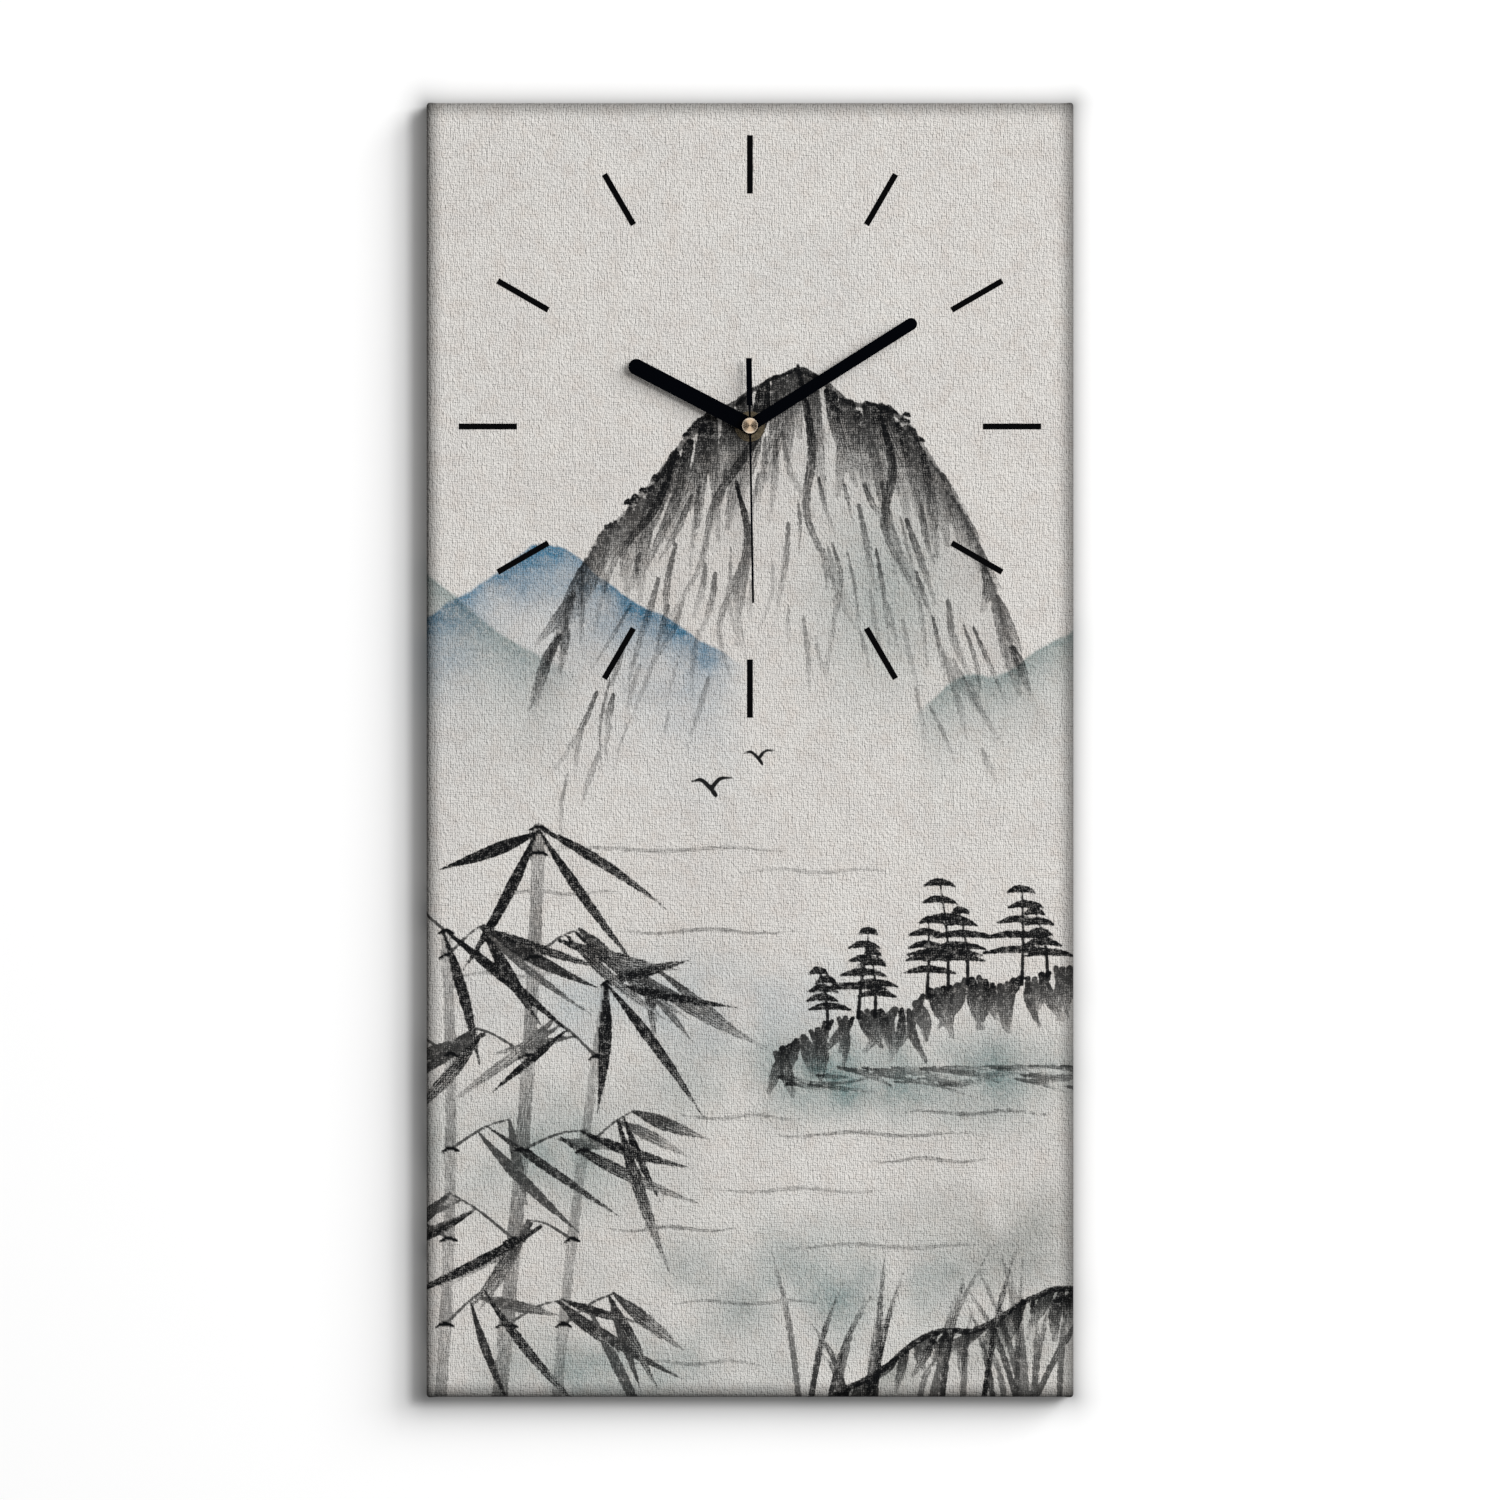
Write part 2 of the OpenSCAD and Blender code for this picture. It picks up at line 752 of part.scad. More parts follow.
module rear_cover()
  color([0.14, 0.14, 0.15])
  in_case() difference() {
    union() {
      linear_extrude(cover_t) case_face(bay_high);
      hanger_tab();
      at(minute_at) disc(knob_d / 2 + knob_gap + pocket_wall, 0, pocket_top);
      for (p = [[0, 0], third_at, fifth_at, rotor_at])
        at(p) disc(arbor_d / 2 + boss_wall, 0, boss_top);
      for (p = plate_posts) at(p) disc(post_r, 0, plate_z);
      for (x = [-1, 1]) at([x * rivet_x, stator_post_y]) {
        disc(post_r, 0, stator_z);
        disc(peg_r, 0, stator_z + stator_t);
      }
      for (p = board_posts) at(p) disc(board_post_r, 0, pcb_z);
      clips_at() {
        translate([-clip_t - clip_gap / 2, -clip_w / 2, cover_t / 2])
          cube([clip_t, clip_w, clip_l + cover_t / 2]);
        translate([-clip_t / 2, -clip_w / 2, cover_t + clip_l - clip_hook])
          cube([clip_t / 2 + clip_bump, clip_w, clip_hook]);
      }
    }
    at(minute_at) {
      disc(knob_d / 2 + knob_gap, -over, pocket_top - pocket_wall);
      disc(setting_d / 2 + run_fit, 0, pocket_top + over);
    }
    disc(seconds_d / 2 + run_fit, boss_top - bearing_depth, boss_top + over);
    for (p = [third_at, fifth_at, rotor_at])
      at(p) disc(pivot_d / 2 + run_fit, boss_top - bearing_depth, boss_top + over);
    translate([0, hanger_up, 0]) keyhole();
  }

module hanger_tab() {
  top = hanger_up + slot_rise - slot_w / 2;
  outer = keyhole_r + hanger_rim;
  linear_extrude(hanger_t) {
    translate([-outer, case_w / 2]) square([2 * outer, top - case_w / 2]);
    translate([0, top]) intersection() {
      circle(outer);
      translate([-outer, 0]) square([2 * outer, slot_w / 2 + hanger_rim / 2]);
    }
  }
}

module keyhole() {
  disc(keyhole_r, -over, hanger_t + over);
  slot_top = slot_rise - slot_w / 2;
  translate([0, slot_top, 0]) disc(slot_w / 2, -over, hanger_t + over);
  translate([-slot_w / 2, 0, -over]) cube([slot_w, slot_top, hanger_t + 2 * over]);
}

module middle_plate()
  color([0.75, 0.75, 0.72])
  in_case() difference() {
    translate([0, 0, plate_z]) linear_extrude(plate_t)
      translate([-inner_w + plate_gap, gear_low + plate_gap])
        square([2 * (inner_w - plate_gap), plate_high - gear_low - plate_gap]);
    disc(minute_d / 2 + run_fit, plate_z - over, plate_z + plate_t + over);
    at(minute_at) disc(setting_d / 2 + run_fit, plate_z - over, plate_z + plate_t + over);
    for (p = [third_at, fifth_at, rotor_at])
      at(p) disc(pivot_d / 2 + run_fit, plate_z - over, plate_z + plate_t + over);
    for (p = plate_posts) at(p) disc(peg_r + snug, plate_z - over, plate_z + plate_t + over);
    clips_at()
      translate([-clip_t - 2 * clip_gap, -clip_w / 2 - 2 * clip_gap, plate_z - over])
        cube([clip_t + over, clip_w + 4 * clip_gap, plate_t + 2 * over]);
  }

// Battery and its contacts
module battery()
  color("steelblue")
  in_case() translate([0, battery_y, battery_z]) rotate([0, 90, 0]) {
    stud_end = battery_l / 2 + stud_h / 2;
    rim = 0.6;
    translate([0, 0, -stud_end]) cylinder(r1 = battery_d / 2 - rim, r2 = battery_d / 2, h = rim);
    translate([0, 0, -stud_end + rim]) cylinder(d = battery_d, h = battery_l - 2 * rim);
    translate([0, 0, stud_end - stud_h - rim])
      cylinder(r1 = battery_d / 2, r2 = battery_d / 2 - rim, h = rim);
    translate([0, 0, stud_end - stud_h - rim]) cylinder(d = stud_d, h = stud_h + rim);
  }

// Contact at one end of the bay, drawn for the right end
module contact_leaf() {
  leaf_r = (pow(leaf_chord / 2, 2) + pow(leaf_rise, 2)) / (2 * leaf_rise);
  translate([inner_w - strip_t, bay_low + leaf_plate_in, leaf_plate_z])
    cube([strip_t, bay_high - bay_low - 2 * leaf_plate_in, battery_d - 2 * leaf_plate_z]);
  translate([inner_w - strip_t - leaf_rise + leaf_r, battery_y, battery_z - leaf_w / 2])
    intersection() {
      ring(leaf_r, leaf_r - strip_t, 0, leaf_w);
      translate([-leaf_r - over, -leaf_chord, -over])
        cube([leaf_rise + over + strip_t / 2, 2 * leaf_chord, leaf_w + 2 * over]);
    }
  translate([inner_w - strip_t, bay_high - strip_foot, strip_z])
    cube([strip_t, strip_foot + bay_wall + strip_t, strip_w]);
}

module positive_contact()
  color("silver")
  in_case() {
    tongue_x = pcb_right - positive_pad_in;
    contact_leaf();
    translate([tongue_x, gear_low, strip_z]) cube([inner_w - tongue_x, strip_t, strip_w]);
    translate([tongue_x, gear_low, pcb_z - strip_t]) cube([pad_w, positive_pad_l, strip_t]);
  }

module negative_contact()
  color("silver")
  in_case() {
    mirror([1, 0, 0]) contact_leaf();
    translate([-inner_w, gear_low, strip_z])
      cube([strip_t, negative_pad_up + negative_pad_l, strip_w]);
    translate([-inner_w, gear_low + negative_pad_up, pcb_z - strip_t])
      cube([pad_w, negative_pad_l, strip_t]);
  }

module circuit_board()
  color("forestgreen")
  in_case() difference() {
    union() {
      translate([-inner_w + plate_gap, pcb_low, pcb_z])
        cube([pcb_right + inner_w - plate_gap, pcb_high - pcb_low, pcb_t]);
      translate([-inner_w + resin_in, 0, pcb_z + pcb_t / 2])
        cylinder(r1 = resin_r, r2 = resin_top_r, h = resin_h);
    }
    at(plate_posts[0]) disc(post_r + pcb_post_gap, pcb_z - over, pcb_z + pcb_t + over);
  }

module quartz_crystal()
  color("lightgray")
  in_case()
    translate([pcb_right - can_in, pcb_high - room, pcb_z + pcb_t + can_d / 2 + snug])
      rotate([90, 0, 0]) {
        cylinder(d = can_d, h = can_l);
        cylinder(d = can_tip_d, h = can_l + can_tip_l);
      }

// Motor
module coil_core()
  color("gray")
  in_case() difference() {
    translate([-core_half, coil_y - core_w / 2, stator_z + stator_t])
      cube([2 * core_half, core_w, stator_t]);
    rivet_holes();
  }

module rivet_holes()
  for (x = [-1, 1])
    at([x * rivet_x, coil_y]) disc(rivet_r + snug, stator_z - over, stator_z + 2 * stator_t + over);

module coil_bobbin()
  color("ivory")
  in_case() translate([0, coil_y, coil_z]) rotate([0, 90, 0]) difference() {
    union() {
      disc(barrel_r, -bobbin_l / 2, bobbin_l / 2);
      disc(flange_d / 2, -bobbin_l / 2, -bobbin_l / 2 + bobbin_wall);
      disc(flange_d / 2, bobbin_l / 2 - bobbin_wall, bobbin_l / 2);
    }
    cube([stator_t + 2 * core_gap, core_w + 2 * core_gap, 2 * bobbin_l], center = true);
  }

module coil_winding()
  color([0.72, 0.4, 0.2])
  in_case() translate([0, coil_y, coil_z]) rotate([0, 90, 0])
    ring(
      winding_r, barrel_r + snug,
      -bobbin_l / 2 + bobbin_wall + snug, bobbin_l / 2 - bobbin_wall - snug
    );

module stator()
  color("gray")
  in_case() {
    arm_in = core_half - arm_w;
    difference() {
      translate([0, 0, stator_z]) linear_extrude(stator_t) {
        translate([-core_half, stator_low]) square([2 * core_half, stator_high - stator_low]);
        for (x = [-core_half, arm_in])
          translate([x, stator_low]) square([arm_w, coil_y + core_w / 2 - stator_low]);
      }
      at(rotor_at) disc(stator_hole_r, stator_z - over, stator_z + stator_t + over);
      at(fifth_at) disc(arbor_d / 2 + arbor_room, stator_z - over, stator_z + stator_t + over);
      for (x = [-1, 1])
        at([x * rivet_x, stator_post_y])
          disc(peg_r + snug, stator_z - over, stator_z + stator_t + over);
      rivet_holes();
    }
  }

module stator_rivets()
  color("goldenrod")
  in_case() for (x = [-1, 1]) at([x * rivet_x, coil_y]) {
    disc(rivet_r, stator_z, stator_z + 2 * stator_t);
    disc(rivet_head_r, stator_z + 2 * stator_t, stator_z + 2 * stator_t + rivet_head_t);
    disc(rivet_tail_r, stator_z - rivet_tail_t, stator_z);
  }

// Going train
module rotor_magnet()
  color("dimgray")
  in_case() at(rotor_at)
    ring(
      magnet_d / 2, arbor_d / 2 + magnet_sleeve + snug,
      stator_z - magnet_back, stator_z + stator_t + magnet_front
    );

module rotor_pinion()
  color("ivory")
  in_case() at(rotor_at) {
    pivoted_arbor(boss_top + end_shake, plate_z - end_shake);
    disc(
      arbor_d / 2 + magnet_sleeve, fifth_z + wheel_t + collar_over,
      stator_z + stator_t + sleeve_front
    );
    translate([0, 0, fifth_z - rotor_pinion_over])
      linear_extrude(rotor_pinion_over + wheel_t + collar_over)
        pinion_teeth(small_n, rotor_module, rotor_phase);
  }

module fifth_wheel()
  color("ivory")
  in_case() at(fifth_at) {
    pivoted_arbor(boss_top + end_shake, plate_z - end_shake);
    translate([0, 0, fifth_z])
      linear_extrude(wheel_t) wheel_teeth(fifth_n, rotor_module, 0);
    translate([0, 0, seconds_z - collar_over])
      linear_extrude(fifth_z - seconds_z + collar_over)
        pinion_teeth(small_n, seconds_module, fifth_phase);
  }

module seconds_wheel()
  color("ivory")
  in_case() difference() {
    union() {
      translate([0, 0, seconds_z])
        linear_extrude(wheel_t) wheel_teeth(seconds_n, seconds_module, 0);
      disc(seconds_d / 2 + seconds_sleeve, seconds_z, third_z);
      disc(seconds_d / 2 + seconds_hub, seconds_z, seconds_z + wheel_t + seconds_hub_over);
      translate([0, 0, third_z - collar_over])
        linear_extrude(wheel_t + 2 * collar_over) pinion_teeth(small_n, going_module, 0);
    }
    disc(seconds_d / 2 + snug / 2, seconds_z - over, centre_z);
  }

module seconds_arbor()
  color("silver")
  hung() disc(seconds_d / 2, case_back + boss_top - seconds_pivot_l, seconds_arbor_end);

module third_wheel()
  color("ivory")
  in_case() at(third_at) {
    pivoted_arbor(boss_top + end_shake, plate_z - end_shake);
    translate([0, 0, third_z])
      linear_extrude(wheel_t) wheel_teeth(third_n, going_module, third_phase);
    translate([0, 0, third_z + wheel_t])
      linear_extrude(centre_z - third_z + collar_over) pinion_teeth(small_n, centre_module, 0);
  }

// The hub grips the minute arbor by friction, so that the hands can be set
module centre_wheel()
  color("ivory")
  in_case() difference() {
    union() {
      translate([0, 0, centre_z])
        linear_extrude(wheel_t) wheel_teeth(centre_n, centre_module, centre_phase);
      disc(minute_d / 2 + centre_hub, centre_z, plate_z - end_shake);
    }
    disc(minute_d / 2 + run_fit, centre_z - over, plate_z + over);
  }

// Motion work
module minute_tip(r, z0, z1, gap)
  intersection() {
    disc(r + gap, z0, z1);
    rotate(-minute_hand_at)
      translate([-flat_w / 2 - gap, -hour_d, z0 - over])
        cube([flat_w + 2 * gap, 2 * hour_d, z1 - z0 + 2 * over]);
  }

module minute_arbor()
  color("silver")
  hung() difference() {
    union() {
      disc(minute_d / 2, case_back + centre_z - end_shake, minute_shoulder);
      minute_tip(minute_d / 2, minute_shoulder - over, minute_arbor_end, 0);
      translate([0, 0, case_back + plate_z + plate_t + end_shake])
        linear_extrude(minute_z + wheel_t - plate_z - plate_t)
          pinion_teeth(cannon_n, motion_module, 0);
    }
    disc(seconds_d / 2 + run_fit, case_back, minute_arbor_end + over);
  }

module minute_wheel()
  color("ivory")
  in_case() at(minute_at) {
    disc(setting_d / 2, knob_in + knob_t / 2, setting_shoulder);
    disc(setting_pivot_d / 2, hour_z + wheel_t, setting_end);
    translate([0, 0, minute_z])
      linear_extrude(wheel_t) wheel_teeth(minute_n, motion_module, minute_phase);
    translate([0, 0, minute_z + wheel_t])
      linear_extrude(hour_z - minute_z + collar_over)
        pinion_teeth(minute_pinion_n, hour_module, 0);
  }

module setting_knob()
  color([0.85, 0.85, 0.82])
  in_case() at(minute_at) difference() {
    disc(knob_d / 2, knob_in, knob_in + knob_t);
    disc(setting_d / 2 + snug, knob_in + knob_t / 2, knob_in + knob_t + over);
    for (i = [0 : knob_notches - 1])
      rotate(360 / knob_notches * i)
        translate([knob_d / 2 + notch_out, 0, 0])
          disc(notch_r, knob_in - over, knob_in + knob_t + over);
  }

module hour_wheel()
  color("ivory")
  hung() difference() {
    union() {
      translate([0, 0, case_back + hour_z])
        linear_extrude(wheel_t) wheel_teeth(hour_n, hour_module, hour_phase);
      disc(
        hour_d / 2 + hour_hub, case_back + minute_z + wheel_t + 2 * end_shake,
        case_back + bush_back - end_shake
      );
      disc(hour_d / 2, case_back + hour_z, hour_tube_end);
    }
    disc(minute_d / 2 + run_fit, case_back + minute_z, hour_tube_end + over);
  }

// Hands
module bar_hand(l, w) {
  circle(d = hub_d);
  translate([-w / 2, 0]) square([w, l - w / 2]);
  translate([0, l - w / 2]) circle(d = w);
}

module hour_hand()
  color([0.02, 0.02, 0.02])
  hung() difference() {
    union() {
      rotate(-hour_at)
        translate([0, 0, hour_hand_z]) linear_extrude(hand_t) bar_hand(hour_l, hour_w);
      disc(hour_d / 2 + collar_wall, hour_hand_z - collar_h, hour_hand_z + hand_t / 2);
    }
    disc(hour_d / 2 + snug, hour_hand_z - over, hour_hand_z + hand_t + over);
  }

module minute_hand()
  color([0.02, 0.02, 0.02])
  hung() difference() {
    union() {
      rotate(-minute_hand_at)
        translate([0, 0, minute_hand_z]) linear_extrude(hand_t) bar_hand(minute_l, minute_w);
      disc(minute_d / 2 + collar_wall, minute_hand_z - collar_h, minute_hand_z + hand_t / 2);
    }
    minute_tip(minute_d / 2, minute_hand_z - over, minute_hand_z + hand_t + over, snug);
  }

module second_hand()
  color([0.02, 0.02, 0.02])
  hung() difference() {
    union() {
      rotate(-second_at) translate([0, 0, second_hand_z]) linear_extrude(hand_t) {
        translate([-second_w / 2, 0]) square([second_w, second_l]);
        translate([-second_w / 2, -tail_start]) square([second_w, tail_start]);
        translate([-tail_w / 2, -tail_l]) square([tail_w, tail_l - tail_start]);
      }
      disc(hub_d / 2, second_hand_z, second_hand_z + boss_t);
      disc(seconds_d / 2 + seconds_collar_wall, minute_arbor_end + collar_gap, second_hand_z);
    }
    disc(seconds_d / 2 + snug / 2, minute_arbor_end, second_hand_z + seconds_seat);
  }

module second_hand_cap()
  color("gold")
  hung() {
    disc(cap_d / 2, cap_z, cap_z + cap_t - cap_bevel);
    translate([0, 0, cap_z + cap_t - cap_bevel])
      cylinder(r1 = cap_d / 2, r2 = cap_d / 2 - cap_bevel, h = cap_bevel);
  }

canvas();
hour_marks();
top_bar();
bottom_bar();
left_bar();
right_bar();
corner_staples();
canvas_staples();
backing_board();
board_staples();
rubber_washer();
brass_washer();
hex_nut();
threaded_bush();
front_case();
rear_cover();
middle_plate();
battery();
positive_contact();
negative_contact();
circuit_board();
quartz_crystal();
coil_core();
coil_bobbin();
coil_winding();
stator();
stator_rivets();
rotor_magnet();
rotor_pinion();
fifth_wheel();
seconds_wheel();
seconds_arbor();
third_wheel();
centre_wheel();
minute_arbor();
minute_wheel();
setting_knob();
hour_wheel();
hour_hand();
minute_hand();
second_hand();
second_hand_cap();
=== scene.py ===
"""Canvas wall clock: cloth, print, materials, light and camera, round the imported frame.
"""
import json

import bpy
import numpy as np
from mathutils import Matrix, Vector

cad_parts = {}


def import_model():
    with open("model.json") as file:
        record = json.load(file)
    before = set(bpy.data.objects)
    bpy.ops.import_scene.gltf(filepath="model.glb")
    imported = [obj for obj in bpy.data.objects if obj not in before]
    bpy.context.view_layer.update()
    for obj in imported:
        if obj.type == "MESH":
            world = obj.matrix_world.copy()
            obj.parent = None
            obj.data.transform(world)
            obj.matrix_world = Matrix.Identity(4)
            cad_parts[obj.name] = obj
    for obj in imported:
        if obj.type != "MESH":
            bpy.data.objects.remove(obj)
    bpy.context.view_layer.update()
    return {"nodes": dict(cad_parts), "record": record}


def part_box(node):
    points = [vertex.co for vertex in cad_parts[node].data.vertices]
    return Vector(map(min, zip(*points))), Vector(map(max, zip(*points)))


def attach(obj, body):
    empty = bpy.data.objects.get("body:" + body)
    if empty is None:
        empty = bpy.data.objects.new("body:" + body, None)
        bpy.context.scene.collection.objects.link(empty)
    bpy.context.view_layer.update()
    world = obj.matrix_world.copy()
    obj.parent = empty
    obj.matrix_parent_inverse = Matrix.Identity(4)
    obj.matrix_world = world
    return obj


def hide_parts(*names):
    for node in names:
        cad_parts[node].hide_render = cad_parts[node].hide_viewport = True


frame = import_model()
nodes = frame["nodes"]

MM = 0.001
LOW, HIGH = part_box("canvas")
WIDE, DEEP, TALL = (HIGH - LOW) / MM
CENTRE = (LOW + HIGH) / 2
FRONT = Vector((CENTRE.x, LOW.y, CENTRE.z))
CAP_LOW, CAP_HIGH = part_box("second_hand_cap")
AXIS = (CAP_LOW + CAP_HIGH) / 2
TURN = 2 * np.pi
TINY = 1e-6


def srgb(*steps):
    """A colour written in steps of 0 to 255, as linear numbers."""
    c = np.array(steps, float) / 255
    return np.where(c <= 0.04045, c / 12.92, ((c + 0.055) / 1.055) ** 2.4)


def ease(t):
    return t * t * (3 - 2 * t)


def step(low, high, x):
    """Rises smoothly from 0 at low to 1 at high."""
    return ease(np.clip((x - low) / (high - low), 0, 1))


def placed(name, data):
    """A new object in the scene."""
    obj = bpy.data.objects.new(name, data)
    bpy.context.scene.collection.objects.link(obj)
    return obj


# The cloth: a closed double layer that wraps the frame and is turned in behind it

EDGE_R = 2.0  # round of the front edge
CORNER_R = 1.4  # round of the outline's corners
FOLD_R = 0.5  # round of the turn behind the frame
CLOTH_T = 0.45  # thickness of the cloth
BACK_GAP = 0.03  # between the cloth and the wall
FLAP = 25.0  # how far the cloth is turned in
FRAY = 0.35  # how far its raw edge strays
CELL = 0.8  # spacing of the outer layer's lines
COARSE = 4  # lines of the outer layer to one of the inner layer
HOLE_R = 4.3  # hole for the bush
PLY_W, PLY_T = 17.0, 0.35  # width and thickness of the folded ply
STAPLE_GAP = 12.0  # staples lie further apart than this
STAPLE_HALF = 5.0  # half of a staple's crown
DIP = 0.26  # how deep a staple presses the cloth in
DIP_END, DIP_SIDE = 1.2, 1.6  # how soon a dip fades past the crown and beside it
FRAY_SEED = 7
# Corner of each layer in the texture layout, across and up, and the layout's scale to a millimetre
OUTER_LAYOUT, INNER_LAYOUT = (0.003, 0.004, 0.00141), (0.58, 0.01, 0.00103)


def spaced(low, high, cell, multiple):
    """Evenly spaced places from low to high, in a whole number of groups."""
    count = max(1, round((high - low) / cell / multiple)) * multiple
    return np.linspace(low, high, count + 1)


def staple_middles():
    """Middle of each staple's crown on the back, across and up, from its own mesh."""
    mesh = nodes["canvas_staples"].data
    co = np.array([v.co[:] for v in mesh.vertices]) / MM
    crown = co[co[:, 1] > -0.01][:, [0, 2]]
    middles = []
    for p in crown:
        for m in middles:
            if np.hypot(*(np.mean(m, 0) - p)) < STAPLE_GAP:
                m.append(p)
                break
        else:
            middles.append([p])
    return np.array([np.mean(m, 0) for m in middles])


def profile(inset):
    """Rings outward over the front edge, back along the side and in behind the frame, each
    as (how far in from the outline, height above the wall, length of cloth so far)."""
    r, f = EDGE_R - inset, max(FOLD_R - inset, 0.05)
    back = BACK_GAP + inset * (CLOTH_T - BACK_GAP) / CLOTH_T
    side_rings, flap_rings = (14, 20) if inset == 0 else (6, 8)
    rings = []
    for a in np.radians(np.linspace(0, 90, 7)):
        rings.append((EDGE_R - r * np.sin(a), DEEP - EDGE_R + r * np.cos(a)))
    for h in np.linspace(DEEP - EDGE_R, back + f, side_rings)[1:]:
        rings.append((inset, h))
    for a in np.radians(np.linspace(0, 90, 5))[1:]:
        rings.append((inset + f - f * np.cos(a), back + f - f * np.sin(a)))
    for e in np.linspace(inset + f, FLAP, flap_rings)[1:]:
        rings.append((e, back))
    rings = np.array(rings)
    run = np.concatenate([[0], np.cumsum(np.hypot(*np.diff(rings, axis=0).T))])
    return np.column_stack([rings, run])


def pinch(x, z, staples):
    """How much the staples press the turned-in cloth in at each point, from 0 to 1."""
    sides = np.abs(np.abs(x) - WIDE / 2) < np.abs(np.abs(z) - TALL / 2)
    dx = np.abs(x[:, None] - staples[:, 0])
    dz = np.abs(z[:, None] - staples[:, 1])
    along = np.where(sides[:, None], dz, dx)
    across = np.where(sides[:, None], dx, dz)
    past = np.maximum(along - STAPLE_HALF, 0)
    return np.exp(-((past / DIP_END) ** 2) - (across / DIP_SIDE) ** 2).max(axis=1)


def round_corners(p):
    """Rounds the corners of the outline in the plane of the wall."""
    half = np.array([WIDE / 2, TALL / 2])
    u = np.clip((np.abs(p[:, [0, 2]]) - (half - CORNER_R)) / CORNER_R, 0, 1)
    disc = u * np.sqrt(1 - u[:, ::-1] ** 2 / 2)
    both = (u > 0).all(axis=1)[:, None]
    p[:, [0, 2]] += np.where(both, np.sign(p[:, [0, 2]]) * (disc - u) * CORNER_R, 0)


def cut_hole(p, quads):
    """Opens the hole for the bush, which the washer covers. Returns the faces that stay."""
    hub = np.array([AXIS.x / MM, (AXIS.z - CENTRE.z) / MM])
    away = p[:, [0, 2]] - hub
    middle = p[quads][:, :, [0, 2]].mean(axis=1) - hub
    hole = (np.hypot(*middle.T) < HOLE_R) & (p[quads][:, :, 1].mean(axis=1) > DEEP - 1)
    rim = np.intersect1d(quads[hole], quads[~hole])
    p[rim[:, None], [0, 2]] = hub + away[rim] / np.hypot(*away[rim].T)[:, None] * HOLE_R
    return quads[~hole]


def wrap(xs, zs, inset, staples, rng):
    """One layer of cloth. Returns its vertices, their places in the flat cut, its faces,
    and the loop of its last ring."""
    nx, nz = len(xs), len(zs)
    grid = np.arange(nx * nz).reshape(nz, nx)
    gx, gz = np.meshgrid(xs, zs)
    loop = np.concatenate([grid[0, :-1], grid[:-1, -1], grid[-1, :0:-1], grid[:0:-1, 0]])
    lx, lz = gx.ravel()[loop], gz.ravel()[loop]
    a0, b0 = xs[-1], zs[-1]
    on_x, on_z = np.abs(lx) > a0 - TINY, np.abs(lz) > b0 - TINY

    rings = profile(inset)
    places = [np.column_stack([gx.ravel(), np.full(nx * nz, DEEP - inset), gz.ravel()])]
    cuts = [np.column_stack([gx.ravel(), gz.ravel()])]
    quads = [grid[:-1, :-1], grid[:-1, 1:], grid[1:, 1:], grid[1:, :-1]]
    faces = [np.column_stack([q.ravel() for q in quads])]
    last = loop
    for e, h, run in rings[1:]:
        a, b = WIDE / 2 - e, TALL / 2 - e
        x = np.where(on_x, np.sign(lx) * a, lx * a / a0)
        z = np.where(on_z, np.sign(lz) * b, lz * b / b0)
        cx = np.where(on_x, np.sign(lx) * (a0 + run), x)
        cz = np.where(on_z, np.sign(lz) * (b0 + run), z)
        depth = np.full(len(loop), h)
        if e >= FLAP - TINY:
            fray = FRAY * rng.normal(size=len(loop))
            x = x + np.where(on_x & ~on_z, fray, 0)
            z = z + np.where(on_z & ~on_x, fray, 0)
        if inset == 0 and h < 1 and e > 5:
            depth = depth + DIP * pinch(x, z, staples)
        # The folded ply at each end of the upper and lower sides
        out = np.clip((DEEP - h) / DEEP, 0, 1)
        reach = PLY_W * out - (WIDE / 2 - np.abs(x))
        ply = PLY_T * step(-0.5, 0.5, reach) * (e < 3) * on_z * step(0.5, 3, DEEP - h)
        z = z + np.sign(lz) * ply
        ring = np.arange(len(loop)) + sum(len(p) for p in places)
        places.append(np.column_stack([x, depth, z]))
        cuts.append(np.column_stack([cx, cz]))
        faces.append(np.column_stack([last, ring, np.roll(ring, -1), np.roll(last, -1)]))
        last = ring
    p = np.vstack(places)
    round_corners(p)
    return p, np.vstack(cuts), cut_hole(p, np.vstack(faces)), last


def join_layers():
    """Both layers as one mesh: the coarse inner layer's lines are every fourth line of the
    outer one, so the raw edge between them closes with whole faces."""
    staples = staple_middles() - np.array([0, CENTRE.z / MM])
    rng = np.random.default_rng(FRAY_SEED)
    a, b = WIDE / 2 - EDGE_R, TALL / 2 - EDGE_R
    xs, zs = spaced(-a, a, CELL, COARSE), spaced(-b, b, CELL, COARSE)
    p, cut, quads, edge = wrap(xs, zs, 0.0, staples, rng)
    q, cut_q, quads_q, edge_q = wrap(xs[::COARSE], zs[::COARSE], CLOTH_T, staples, rng)
    shift = len(p)
    quads_q, edge_q = quads_q + shift, edge_q + shift
    faces = [f[::-1] for f in quads.tolist()] + quads_q.tolist()
    for k, here in enumerate(edge_q):
        fine = [edge[(k * COARSE + m) % len(edge)] for m in range(COARSE + 1)]
        faces.append([*fine, edge_q[(k + 1) % len(edge_q)], here][::-1])
    p, cut = np.vstack([p, q]), np.vstack([cut, cut_q])
    inner = np.arange(len(p)) >= shift
    used = np.zeros(len(p), bool)
    used[np.concatenate([quads, quads_q]).ravel()] = True
    name = np.cumsum(used) - 1
    faces = [[int(name[i]) for i in f] for f in faces]
    return p[used], cut[used], faces, inner[used]


